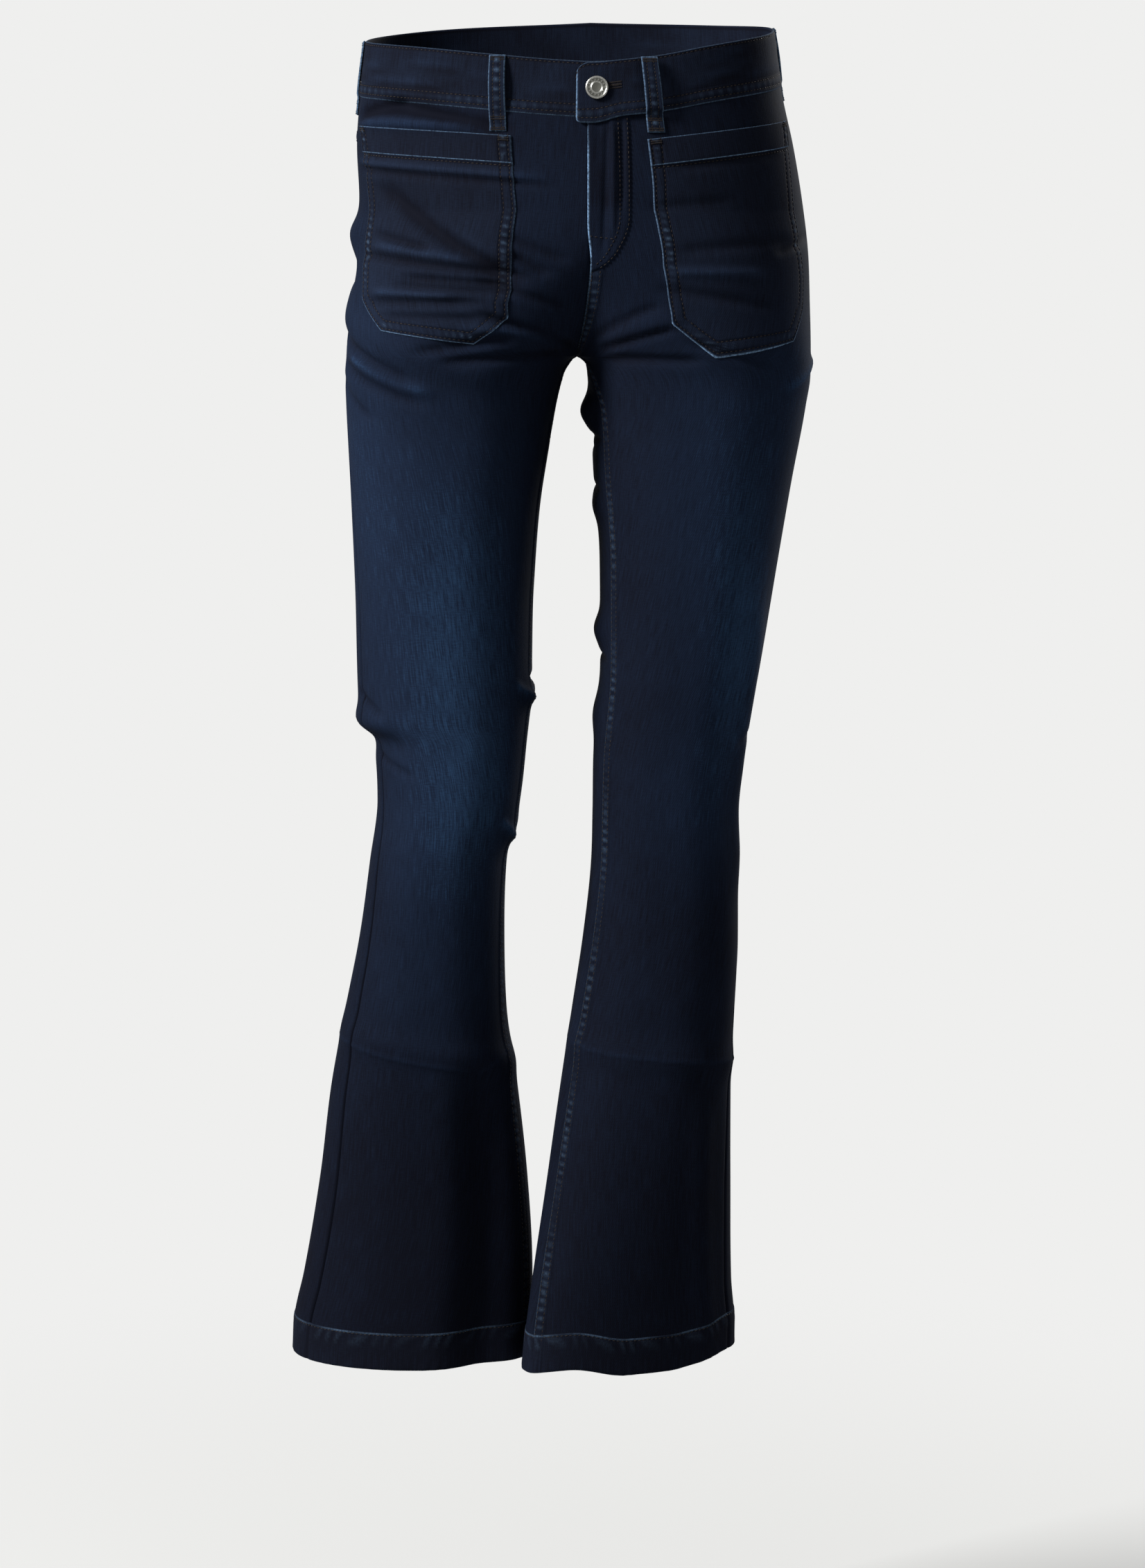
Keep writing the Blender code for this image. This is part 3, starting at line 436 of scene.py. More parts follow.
def fade_and_fold_shade(side, z, g):
    """How pale the dye has grown at (g, z), up to 1: in patches, and on the folds' crests, partly
    as painted highlight; painted shade darkens the folds' troughs, down to -0.2.
    """
    z, g = np.broadcast_arrays(z, g)
    g = even_place(side, z, g)
    total = sum(strength * np.exp(-((g - g0) / across) ** 2 - ((z / MM - z0) / up) ** 2)
                for g0, z0, across, up, strength in FADES[side])
    fine = relief(side, z.ravel(), g.ravel(), FINE_FOLDS).reshape(z.shape) / MM
    # Fold crests painted paler (wear and painted highlight), fold troughs painted darker (painted
    # shade)
    total = total + CREST_FADE_AND_HIGHLIGHT * np.maximum(fine, 0) + TROUGH_SHADE * np.minimum(fine, 0)
    return np.clip(total, -0.2, 1)


def rubbed(distance, strength=0.4):
    """How pale an edge is rubbed, at a distance from it in millimetres."""
    return strength * np.clip((1.0 - distance) / 0.8, 0, 1)


def painted_groove_shade(distance, rows, strength=0.22):
    """Painted shade: how much darker the cloth is painted in the groove of each row of stitches.
    """
    return strength * sum(bell((distance - row) / 0.8) for row in rows)


def puckers(along, seed=0.0):
    """Uneven waves along a sewn seam, about 7 mm from crest to crest, from -1 to 1."""
    drift = 1.5 * np.sin(along / (43 * MM) + seed) + 1.2 * np.sin(along / (17 * MM) + 2 * seed)
    swell = 0.55 + 0.45 * np.sin(along / (19 * MM) + 3 * seed)
    return swell * np.sin(2 * np.pi * along / (7.2 * MM) + drift)


# %% [markdown]
# ## Cloth as a mesh
#
# Each piece of cloth is two grids of points, its face and its reverse, closed round the rim.
# The grid's own UV map is in metres along the cloth, so a weave keeps its scale. Two values
# go with each point: how pale its dye has grown, with painted shade in fold troughs and seam
# grooves and painted highlight on fold crests, and how far it is rubbed pale.

# %% The shell builder
def add_object(name, data):
    """A new object at the origin, in the scene."""
    obj = bpy.data.objects.new(name, data)
    bpy.context.scene.collection.objects.link(obj)
    return obj


def shell(name, outer, inner, uv, fade_and_shade, worn, materials, closed=False, flip=False):
    """A closed shell between two grids; closed also joins the last column to the first."""
    rows, columns = outer.shape[:2]
    spans = columns - (not closed)

    def quads(*corners):
        """Faces with the given corners (row, column, 1 on the reverse): their points and UVs."""
        return np.stack([np.stack([(back * rows + r) * columns + c % columns,
                                   r * (columns + closed) + c], -1) for r, c, back in corners], 1)

    r, c = (grid.ravel() for grid in np.mgrid[0:rows - 1, 0:spans])
    faces = [quads((r, c, 0), (r + 1, c, 0), (r + 1, c + 1, 0), (r, c + 1, 0)),
             quads((r, c, 1), (r, c + 1, 1), (r + 1, c + 1, 1), (r + 1, c, 1))]
    along, down = np.arange(spans + 1), np.arange(rows)
    rims = [(0 * along, along), (0 * along + rows - 1, along[::-1])]
    if not closed:
        rims += [(down, 0 * down + spans), (down[::-1], 0 * down)]
    for r, c in rims:
        here, on = (r[:-1], c[:-1]), (r[1:], c[1:])
        faces.append(quads((*here, 0), (*on, 0), (*on, 1), (*here, 1)))
    slots = np.concatenate([np.full(len(part), int(i == 1)) for i, part in enumerate(faces)])
    faces = np.concatenate(faces)[:, ::-1 if flip else 1]
    mesh = bpy.data.meshes.new(name)
    points = np.concatenate([outer.reshape(-1, 3), inner.reshape(-1, 3)])
    mesh.from_pydata(points.tolist(), [], faces[:, :, 0].tolist())
    corner_uv = uv.reshape(-1, 2)[faces[:, :, 1].ravel()].astype(np.float32).ravel()
    mesh.uv_layers.new(name="cloth").data.foreach_set("uv", corner_uv)
    mesh.polygons.foreach_set("material_index", slots.astype(np.int32))
    for key, value, reverse in (("fade_and_shade", fade_and_shade, 1.0), ("worn", worn, 0.0)):
        value = np.broadcast_to(value, (rows, columns)).astype(np.float32).ravel()
        value = np.concatenate([value, value * reverse])
        mesh.attributes.new(key, "FLOAT", "POINT").data.foreach_set("value", value)
    mesh.shade_smooth()
    for mat in materials:
        mesh.materials.append(mat)
    return add_object(name, mesh)


def dress(obj, node):
    """Attaches a piece of cloth to the root and hides the CAD node it stands for."""
    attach(obj, "root")
    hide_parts(node)
    return obj


def told(*objects):
    """Prints what a cell has made."""
    print(", ".join(f"{obj.name}: {len(obj.data.polygons)} faces" for obj in objects))


# %% [markdown]
# ## Denim
#
# Denim is a 3/1 cotton twill: indigo-dyed warp over white weft, so its face is blue and its
# reverse is pale. Here it is a dark stretch denim, about 12 oz, overdyed nearly black. Its
# warp threads are spun unevenly, which shows as fine upright slubs. The real threads are
# 0.5 mm apart, less than a pixel, so the slubs and the twill line are drawn coarser.

# %% Colours and the node helper
def linear(hex_color):
    """A linear RGBA colour from an sRGB hex string."""
    parts = [int(hex_color[i:i + 2], 16) / 255 for i in (1, 3, 5)]
    return (*(c / 12.92 if c <= 0.04045 else ((c + 0.055) / 1.055) ** 2.4 for c in parts), 1.0)


def add(tree, kind, *values, named=None, out=0, **settings):
    """Adds a node with its settings and returns one of its outputs.

    Values fill its first sockets, and named fills others. Each is a plain value or an output.
    """
    node = tree.nodes.new(kind)
    for key, value in settings.items():
        setattr(node, key, value)
    for key, value in [*enumerate(values), *(named or {}).items()]:
        if isinstance(value, bpy.types.NodeSocket):
            tree.links.new(value, node.inputs[key])
        else:
            node.inputs[key].default_value = value
    return node.outputs[out] if node.outputs else None


def new_material(name, plain):
    """A material with plain values on its shader, its node tree and the shader's sockets."""
    mat = bpy.data.materials.new(name)
    mat.use_nodes = True
    sockets = mat.node_tree.nodes["Principled BSDF"].inputs
    for key, value in plain.items():
        sockets[key].default_value = value
    return mat, mat.node_tree, sockets


# %% The denim material
TWILL_PITCH = 1.7  # millimetres between twill lines as drawn
# Patches of the dye and the yarn: width and length in millimetres, and detail
DENIM_PATCHES = ((0.8, 19.0, 2.0), (5.0, 0.8, 2.0), (60.0, 90.0, 3.0), (2.0, 2.0, 2.0))


def denim(name, dark, mid, light, pale):
    """Twill denim: its dye from dark to pale, painted darker for shade and paler for highlight as
    each point says, and the pale blue of its rubbed edges.
    """
    mat, tree, shader = new_material(name, {"Roughness": 0.85, "Specular IOR Level": 0.01})
    place = add(tree, "ShaderNodeUVMap", uv_map="cloth")
    fade_and_shade, worn = (add(tree, "ShaderNodeAttribute", attribute_name=key, out="Fac")
                  for key in ("fade_and_shade", "worn"))
    patches = []
    for width, length, detail in DENIM_PATCHES:
        at = add(tree, "ShaderNodeVectorMath", place, (1000 / width, 1000 / length, 1.0),
                 operation="MULTIPLY")
        patches.append(add(tree, "ShaderNodeTexNoise", named={
            "Vector": at, "Scale": 1.0, "Detail": detail, "Roughness": 0.55}))
    slub, weft, cloud, grain = patches
    # Faded patches with painted shade and highlight from the points, broken up by slubs, by weft
    # streaks and by uneven dye
    thread = add(tree, "ShaderNodeMath", weft, 0.8, -1.2, operation="MULTIPLY_ADD")
    thread = add(tree, "ShaderNodeMath", slub, 1.6, thread, operation="MULTIPLY_ADD")
    depth = add(tree, "ShaderNodeMath", fade_and_shade, 0.55, 0.26, operation="MULTIPLY_ADD")
    base = add(tree, "ShaderNodeMath", cloud, 0.2, fade_and_shade, operation="MULTIPLY_ADD")
    base = add(tree, "ShaderNodeMath", thread, depth, base, operation="MULTIPLY_ADD",
               use_clamp=True)
    dye = add(tree, "ShaderNodeValToRGB", base)
    ramp = dye.node.color_ramp.elements
    ramp[0].color, ramp[1].color, ramp.new(0.45).color = map(linear, (dark, light, mid))
    # Rubbed edges show in specks
    speck = add(tree, "ShaderNodeMath", grain, 2.2, -0.44, operation="MULTIPLY_ADD",
                use_clamp=True)
    speck = add(tree, "ShaderNodeMath", worn, speck, operation="MULTIPLY", use_clamp=True)
    color = add(tree, "ShaderNodeMix", speck, named={6: dye, 7: linear(pale)}, out=2,
                data_type="RGBA")
    # The twill line climbs to the right, and slubs stand a little proud
    turn = 2 * math.pi * 1000 / TWILL_PITCH
    split = add(tree, "ShaderNodeSeparateXYZ", place).node.outputs
    climb = add(tree, "ShaderNodeMath", split[1], -turn / 2, operation="MULTIPLY")
    climb = add(tree, "ShaderNodeMath", split[0], turn, climb, operation="MULTIPLY_ADD")
    twill = add(tree, "ShaderNodeMath", climb, operation="SINE")
    height = add(tree, "ShaderNodeMath", twill, 0.12, slub, operation="MULTIPLY_ADD")
    bump = add(tree, "ShaderNodeBump",
               named={"Strength": 0.5, "Distance": 0.25 * MM, "Height": height})
    tree.links.new(color, shader["Base Color"])
    tree.links.new(bump, shader["Normal"])
    return mat


FACE = denim("overdyed indigo stretch denim", "#06070d", "#0d1421", "#1b2d43", "#50667e")
TRIM = denim("overdyed indigo denim, doubled", "#07080e", "#0f1521", "#1b2d43", "#50667e")
REVERSE = denim("denim reverse, white weft", "#1c222c", "#2b3441", "#3c4757", "#5a6a7d")
print("denim materials:", FACE.name, "/", REVERSE.name)

# %% [markdown]
# ## The panels
#
# A trouser leg is two panels, front and back, sewn up the outside and the inside of the leg.
# The outseam is pressed open, so it shows as a groove. The inseam, the centre front and the
# centre back are flat-felled: the edge is folded over and sewn down twice, so it stands up
# as a strip that puckers between its two rows. Columns crowd near the seams to show this.

# %% Sizes of the panels and their seams
CLOTH = 1.1 * MM
BAND_HEIGHT = 42 * MM
HEM_HEIGHT = 30 * MM
HEM_LEVEL = -1043 * MM
PANEL_TOP = -50 * MM
PANEL_FOOT = -1013 * MM
YOKE_LEVEL = -92 * MM
YOKE_SIDE_DEPTH = 36 * MM
YOKE_CENTRE_DEPTH = 64 * MM
TOP_EASE_CLEAR = 35 * MM
HEM_EASE_START = -940 * MM
TUCKED = 5 * MM  # how far a panel runs on under the piece sewn over its end
ROW_STEP = 2.3 * MM
MIDDLE_COLUMNS = 44

# From a seam: distance in millimetres, and how far the turned edge lies under the face there
SEAM_COLUMNS = (
    (0, 3.0), (0, 1.4), (0, 0), (0.3, 0), (0.8, 0), (1.6, 0), (2.6, 0), (4.5, 0), (6, 0), (7, 0),
    (8, 0), (8.8, 0), (9.8, 0), (11, 0), (13, 0),
)
EDGE_PAST = 1.2 * MM
# Height of the cloth's face by distance from the seam, both in millimetres
PLAIN_SEAM = ((0, -2.2), (0.3, -1.9), (0.8, -1.2), (1.6, -0.45), (2.6, -0.1), (4.5, 0))
FELLED_SEAM = ((0, -0.1), (0.3, 0.5), (0.8, 0.8), (1.6, 0.45), (2.6, 0.8), (4.5, 0.9), (7, 0.8),
               (8, 0.45), (8.8, 0.75), (9.8, 0.25), (11, 0))
FELL_WIDTH = 9.2 * MM
STRIP_START = 1.2 * MM  # a felled strip's puckers begin this far from its seam
SEAM_BLEND = 8 * MM  # a seam changes its kind over this height
FLY_END = -170 * MM  # above this the fly covers the centre front's seam
PUCKER_HEIGHT = 0.38 * MM
PUCKER_WEAR = 0.16
OUTSEAM_RUB_FOOT = -330 * MM

# Height of the waistband's top edge by angle from the centre front; each hem's rise by g
WAIST_EDGE = (
    (-180, 20), (-135, 14), (-90, 1), (-53, -7.3), (-30, -13.1), (-10, -17.5), (0, -18.7),
    (24, -13.6), (38, -7.5), (68, 3.2), (90, 10.4), (135, 17), (180, 20),
)
HEM_RISE = {
    "right": ((0, 1), (0.5, 0), (1, 2), (1.5, 3), (2, 1)),
    "left": ((0, 3), (0.2, 7), (0.45, 0), (0.65, 0), (0.8, 3), (1, 8), (1.5, 6), (2, 3)),
}


def waist_edge(side, g):
    """Height of the waistband's top edge."""
    return follow(WAIST_EDGE, SIDES[side] * g * 90.0) * MM


def panel_top(side, g):
    """Height of the seam under the waistband."""
    return waist_edge(side, g) - BAND_HEIGHT


def yoke_line(side, g):
    """Height of the seam under the yoke."""
    deeper = (YOKE_CENTRE_DEPTH - YOKE_SIDE_DEPTH) * soft_step(g - 1)
    return panel_top(side, g) - YOKE_SIDE_DEPTH - deeper


def hem_edge(side, g):
    """Height of the leg opening's edge."""
    return HEM_LEVEL + follow(HEM_RISE[side], g) * MM


# %% How the cloth stands at its seams
def profile(distance, shape):
    """Height of a seam's profile at a distance from the seam, in metres."""
    offsets, heights = np.array(shape).T * MM
    return np.interp(distance, offsets, heights)


def seam_run(side, low, z):
    """Length along the seam at g = 2 * low, from the top down to heights z."""
    edge = FACES[side, low]["points"][:, 0 if low == 0 else -1]
    steps = np.linalg.norm(np.diff(edge, axis=0), axis=1)
    return np.interp(z, LEVELS, np.concatenate([[0], np.cumsum(steps)]))


def strip_wave(side, low, z, distance):
    """The puckers of a felled strip, at a distance from its seam."""
    across = np.clip((distance - STRIP_START) / (FELL_WIDTH - STRIP_START), 0, 1)
    return puckers(seam_run(side, low, z), seed=low + SIDES[side]) * np.sin(np.pi * across)


def inner_seam(side, low, z, distance):
    """Height and wear of the cloth near the centre seam or the inseam."""
    below = soft_step((CROTCH + SEAM_BLEND / 2 - z) / SEAM_BLEND)
    under_fly = (side == "left") * soft_step((FLY_END - z) / SEAM_BLEND)
    felled = (1 - below) * (side == "left") if low else np.maximum(below, under_fly)
    wave = strip_wave(side, low, z, distance)
    raised = profile(distance, FELLED_SEAM) + PUCKER_HEIGHT * wave
    height = felled * raised + (1 - felled) * profile(distance, PLAIN_SEAM)
    edge = rubbed(distance / MM, 0.3) * np.where((low == 0) & (z > CROTCH), 2, 1)
    return height, felled * (PUCKER_WEAR * np.clip(wave, 0, 1) + edge)


# %% Making a panel
YARN_ROWS = 24  # rows each way over which the pattern's width is averaged


def columns_at(length, even, low):
    """Distance from the first seam of each column, and how deep it is tucked, per row."""
    offsets, tucks = np.array(SEAM_COLUMNS).T * MM
    share = np.linspace(0, 1, MIDDLE_COLUMNS + 2)[1:-1]
    length, even = length[:, None], even[:, None]
    # Columns keep their distance from the outseam, and only those by the crotch crowd up
    middle = offsets[-1] + share * (even - 2 * offsets[-1]) + (length - even) * share**6
    if not low:
        middle = (length - middle)[:, ::-1]
    distance = np.concatenate([offsets + 0 * length, middle, length - offsets[::-1]], axis=1)
    tuck = np.concatenate([tucks, np.zeros(MIDDLE_COLUMNS), tucks[::-1]])
    return distance, tuck


def close_centre(side, low, z, *grids):
    """Leads the centre seam's turned edges past the centre line, so no light comes through."""
    turned = slice(-2, None) if low else slice(0, 2)
    z = z[:, turned]
    past = follow(CENTRE, z / MM) * MM - SIDES[side] * EDGE_PAST
    for points in grids:
        points[:, turned, 0] = np.where(z > CROTCH, past, points[:, turned, 0])


def make_panel(side, low):
    """A front (low 0) or back (low 1) panel, from the seam above it down into the hem."""
    top_level = YOKE_LEVEL if low else PANEL_TOP
    levels = np.arange(top_level, PANEL_FOOT, -ROW_STEP)
    levels = np.unique(np.concatenate([levels, crotch_levels[4:-4], [PANEL_FOOT]]))[::-1]
    length = girth(side, levels, low)
    distance, tuck = columns_at(length, girth(side, levels, low, even=True), low)
    across, level = length[:, None], levels[:, None]
    g = low + distance / across
    top = (yoke_line(side, g) if low else panel_top(side, g)) + TUCKED
    foot = hem_edge(side, g) + HEM_HEIGHT - TUCKED
    ease_end = CROTCH + TOP_EASE_CLEAR
    to_top = soft_step((level - ease_end) / (top_level - ease_end))
    to_hem = soft_step((HEM_EASE_START - level) / (HEM_EASE_START - PANEL_FOOT))
    z = level + to_top * (top - top_level) + to_hem * (foot - PANEL_FOOT)
    from_outer, from_inner = (distance, across - distance)[::1 if low else -1]
    height, worn = inner_seam(side, low, z, from_inner)
    height = height + profile(from_outer, PLAIN_SEAM) - tuck
    worn = worn + rubbed(from_outer / MM, 0.35) * soft_step((z - OUTSEAM_RUB_FOOT) / (80 * MM))
    if low:
        height -= 1.1 * MM * soft_step((z - yoke_line(side, g) + 0.8 * MM) / (2 * MM))
    outer, inner = layers(side, z, g, height, height - CLOTH)
    close_centre(side, low, z, outer, inner)
    # The yarns run straight past a fold, so the pattern's width is led evenly down the leg
    window = np.full(2 * YARN_ROWS + 1, 1 / (2 * YARN_ROWS + 1))
    even = np.convolve(np.pad(length, YARN_ROWS, mode="edge"), window, "valid")
    uv = np.stack([(g - 1) * even[:, None], z], axis=2)
    # Painted shade darkens the outseam's groove, on top of the dye's patches
    fade_and_shade = fade_and_fold_shade(side, z, g) - painted_groove_shade(from_outer / MM, (0.0,), 0.5)
    name = f"{'back' if low else 'front'}_panel_{side}"
    obj = shell(name, outer, inner, uv, fade_and_shade, worn, (FACE, REVERSE), flip=SIDES[side] < 0)
    return dress(obj, name.replace("_panel", ""))


panels = {(side, low): make_panel(side, low) for side in SIDES for low in (0, 1)}
told(*panels.values())

# %% [markdown]
# ## The yokes
#
# The yoke is the shaped strip over the seat that takes the place of darts. Its lower edge is
# felled over the back panel, so it ends in a raised double-sewn step.

# %% Making a yoke
YOKE_ROWS = (0, 3, 6, 10, 15, 20, 25)
YOKE_FOOT = (11, 9.8, 8.8, 8, 7, 6, 4.5, 2.6, 1.6, 0.8, 0.3, 0)  # millimetres above its lower edge


def make_yoke(side):
    """The strip between the waistband and a back panel."""
    level = np.full(len(YOKE_ROWS) + len(YOKE_FOOT), (PANEL_TOP + YOKE_LEVEL) / 2)
    length = girth(side, level, 1)
    distance, tuck = columns_at(length, length, 1)
    g = 1 + distance / length[:, None]
    top, foot = panel_top(side, g[0]) + TUCKED, yoke_line(side, g[0])
    fell = np.array(YOKE_FOOT) * MM
    upper = np.linspace(0, 1, len(YOKE_ROWS) + 1)[:-1, None]
    z = np.concatenate([top + upper * (foot + fell[0] - top), foot + fell[:, None]])
    above_foot = z - foot
    wave = puckers(distance, seed=4 + SIDES[side])
    wave = wave * np.sin(np.pi * np.clip((above_foot - 1.2 * MM) / (8 * MM), 0, 1))
    height, worn = inner_seam(side, 1, z, length[:, None] - distance)
    height = height + profile(distance, PLAIN_SEAM) - tuck
    height = height + profile(above_foot, FELLED_SEAM) + PUCKER_HEIGHT * wave
    outer, inner = layers(side, z, g, height, height - CLOTH)
    close_centre(side, 1, z, outer, inner)
    uv = np.stack([(g - 1) * length[:, None], z], axis=2)
    worn = worn + PUCKER_WEAR * np.clip(wave, 0, 1) + rubbed(above_foot / MM, 0.4)
    obj = shell(f"yoke_piece_{side}", outer, inner, uv, fade_and_fold_shade(side, z, g), worn, (FACE, REVERSE),
                flip=SIDES[side] < 0)
    return dress(obj, f"yoke_{side}")


told(*(make_yoke(side) for side in SIDES))

# %% [markdown]
# ## The hems
#
# The leg's cloth is turned up inside, 30 mm deep, and sewn round once. The layers creep a
# little as they are sewn, so the hem ripples softly, and its upper edge rubs pale in places.
# Made as a ring, it can carry the ripple all the way round with no join.

# %% Making a hem
HEM_COLUMNS = 250
# Down the hem, millimetres: distance from its top, face and reverse heights
HEM_SHAPE = (
    (0, 0.10, -1.1), (0.6, 0.35, -1.7), (1.3, 0.5, -1.9), (2.0, 0.1, -1.9), (2.7, 0.45, -1.9),
    (4, 0.55, -1.9), (6, 0.6, -1.9), (9, 0.6, -1.9), (13, 0.55, -1.9), (17, 0.55, -1.9),
    (21, 0.55, -1.9), (25, 0.6, -1.9), (27.5, 0.65, -1.9), (29, 0.6, -1.7), (29.7, 0.3, -1.3),
    (30, -0.2, -0.8),
)
HEM_ROW = 2.0  # millimetres from its top to its row of stitches
ROPE_PITCH = 13 * MM
ROPE_HEIGHT = 0.28 * MM


def make_hem(side):
    """The turned hem, a ring round the leg opening."""
    around = girth(side, HEM_LEVEL)
    offsets = np.array([row[0] for row in FELLED_SEAM]) * MM / around
    g = np.unique(np.concatenate([np.arange(HEM_COLUMNS) * 2 / HEM_COLUMNS, offsets,
                                  1 - offsets[:5], 1 + offsets[:5]]))
    down, face, reverse = np.array(HEM_SHAPE).T[:, :, None] * MM
    z = hem_edge(side, g) + HEM_HEIGHT - down
    plain = cloth(side, hem_edge(side, g) + HEM_HEIGHT / 2, g)
    steps = np.linalg.norm(np.roll(plain, -1, axis=0) - plain, axis=1)
    run = np.concatenate([[0], np.cumsum(steps)])
    turns = round(run[-1] / ROPE_PITCH)
    slant = run[:-1] / run[-1] * turns + 0.35 * np.sin(9 * np.pi * g) - down / (20 * MM)
    rope = np.sin(2 * np.pi * slant) * (0.7 + 0.3 * np.sin(5 * np.pi * g + 1))
    near_sewing, near_fold = bell((down - 6 * MM) / (4.5 * MM)), bell((down - 29 * MM) / (6 * MM))
    height = face + ROPE_HEIGHT * rope * (near_sewing + 0.8 * near_fold)
    # The seams of the leg run on over the hem: a groove outside, a felled strip inside
    height = height + 0.5 * profile(np.abs(g - 1) * around, PLAIN_SEAM)
    wave = strip_wave(side, 0, z, g * around) * (g < 0.3)
    height = height + 0.8 * profile(g * around, FELLED_SEAM) + PUCKER_HEIGHT * wave
    outer, inner = layers(side, z, g, height, reverse + 0.3 * ROPE_HEIGHT * rope * near_fold)
    uv = np.stack(np.broadcast_arrays(run - run[-1] / 2, np.c_[z, z[:, :1]]), axis=2)
    patchy = 0.55 + 0.45 * np.sin(run[:-1] / (23 * MM)) * np.sin(run[:-1] / (9 * MM) + 2)
    worn = rubbed(np.abs(down / MM - 0.9), 0.30) * patchy + rubbed(30.3 - down / MM, 0.18)
    worn = worn + 0.05 * np.clip(rope, 0, 1) * near_sewing + PUCKER_WEAR * np.clip(wave, 0, 1)
    # Painted shade darkens the outseam's groove round the hem
    fade_and_shade = fade_and_fold_shade(side, z, g) - painted_groove_shade(np.abs(g - 1) * around / MM, (0.0,), 0.5)
    obj = shell(f"hem_piece_{side}", outer, inner, uv, fade_and_shade, worn, (TRIM, REVERSE), closed=True,
                flip=SIDES[side] < 0)
    return dress(obj, f"hem_{side}")


told(*(make_hem(side) for side in SIDES))

# %% [markdown]
# ## The waistband
#
# One long strip goes round the waist and laps over itself at the front, left over right,
# where the button is. Its top edge is folded and sewn close. Its lower part is a second
# strip, sewn on with two rows, so it stands a little proud and rubs pale at its foot.

# %% Sizes of the waistband
BAND_PROUD = 0.8 * MM
BAND_THICK = 2.6 * MM
BAND_GAP = 0.3 * MM
ON_LAP = BAND_PROUD + BAND_THICK + BAND_GAP  # how far the lap's face stands off the front
# In g: where the lap and the end under it stop, and how the lap comes down beside the end
LAP_END = -0.052
UNDER_END = 0.12
LAP_CLEAR = 0.02
LAP_EASE = 0.13
LAP_DROOP = 4.5 * MM
LAP_TOP_DROOP = 0.9 * MM
LAP_TOP_ROUND = 10 * MM
LAP_FOOT_ROUND = 3.5 * MM
LAP_END_ROUND = 2.6 * MM  # the folded end of the lap rolls down over this width
LAP_END_DROP = 2.0 * MM
BAND_STATIONS = 250
# Down the band, millimetres: distance from its top, face and reverse heights
BAND_SHAPE = (
    (0, -0.30, -0.75), (0.25, 0.25, -1.35), (0.8, 0.58, -1.7), (1.3, 0.6, -1.8),
    (2.0, 0.22, -1.8), (2.7, 0.62, -1.8), (4, 0.78, -1.8), (7, 0.76, -1.8), (11, 0.72, -1.8),
    (16, 0.7, -1.8), (21, 0.7, -1.8), (26, 0.72, -1.8), (30, 0.7, -1.8), (31.2, 0.5, -1.8),
    (31.9, 0.85, -1.8), (32.6, 0.5, -1.8), (33.4, 0.92, -1.8), (35.5, 1.0, -1.8),
    (37.8, 0.92, -1.8), (38.6, 0.5, -1.8), (39.4, 0.9, -1.8), (40.8, 0.85, -1.75),
    (41.6, 0.45, -1.4), (42, -0.2, -0.8),
)
BAND_ROWS_SEWN = (2.0, 32.6, 38.6)  # millimetres below its top edge
# Soft creases where the body's bend rumples the band, all in millimetres: from a distance
# round it and down it to another, then width and height
BAND_CREASES = (
    (34, 20, 62, 9, 2.6, 0.35), (76, 27, 150, 15, 3.0, 0.5), (92, 12, 140, 6, 2.4, 0.35),
    (120, 24, 205, 27, 2.8, 0.4), (190, 9, 240, 19, 3.2, 0.4), (300, 22, 380, 14, 3.5, 0.4),
    (480, 12, 560, 21, 3.5, 0.4), (640, 22, 700, 12, 3.0, 0.45), (668, 27, 760, 24, 2.8, 0.5),
    (700, 14, 772, 9, 2.6, 0.4), (735, 20, 800, 16, 2.6, 0.35), (806, 25, 850, 20, 2.6, 0.35),
)


def lap_share(g):
    """1 where the band's left end lies over its right end, 0 where it doesn't."""
    return 1 - soft_step((g - UNDER_END - LAP_CLEAR) / LAP_EASE)


def round_off(distance, radius):
    """How far a corner of the given radius is cut down at a distance from the end."""
    inside = np.clip(radius - distance, 0, radius)
    return radius - np.sqrt(radius**2 - inside**2)


def band_stations():
    """(side, g, share lapped over, share drooped, distance from the tip) round the band."""
    front = girth("left", waist_edge("left", 0.0) - BAND_HEIGHT / 2)
    tip = -LAP_END * front
    near = np.array([0, 0.12, 0.35, 0.8, 1.4, 2.0, 2.6, 3.4, 4.6, 6.2, 8]) * MM
    around = np.linspace(0, 2, BAND_STATIONS)
    places = [("right", (tip - d) / front, -(tip - d) / front, d) for d in near]
    places += [("left", g, g, tip + g * front) for g in around]
    upper = [(side, g, lap_share(past), 1 - soft_step(past / UNDER_END), from_tip)
             for side, g, past, from_tip in places]
    under = [("right", g, 0, 0, 1.0) for g in around[::-1][1:]]
    return upper + under + [("left", g, 0, 0, 1.0) for g in np.linspace(0, UNDER_END, 14)[1:]]


def band_crease(down, run):
    """How far the band's creases stand out at (run, down), in millimetres."""
    total = 0.0 * down * run
    for run0, down0, run1, down1, width, height in BAND_CREASES:
        share = (run / MM - run0) / (run1 - run0)
        away = down - down0 - np.clip(share, 0, 1) * (down1 - down0)
        ends = soft_step(share / 0.3) * soft_step((1 - share) / 0.3)
        shape = bell(away / width) - 0.6 * bell((away - 2 * width) / width)
        total = total + height * ends * shape
    return total


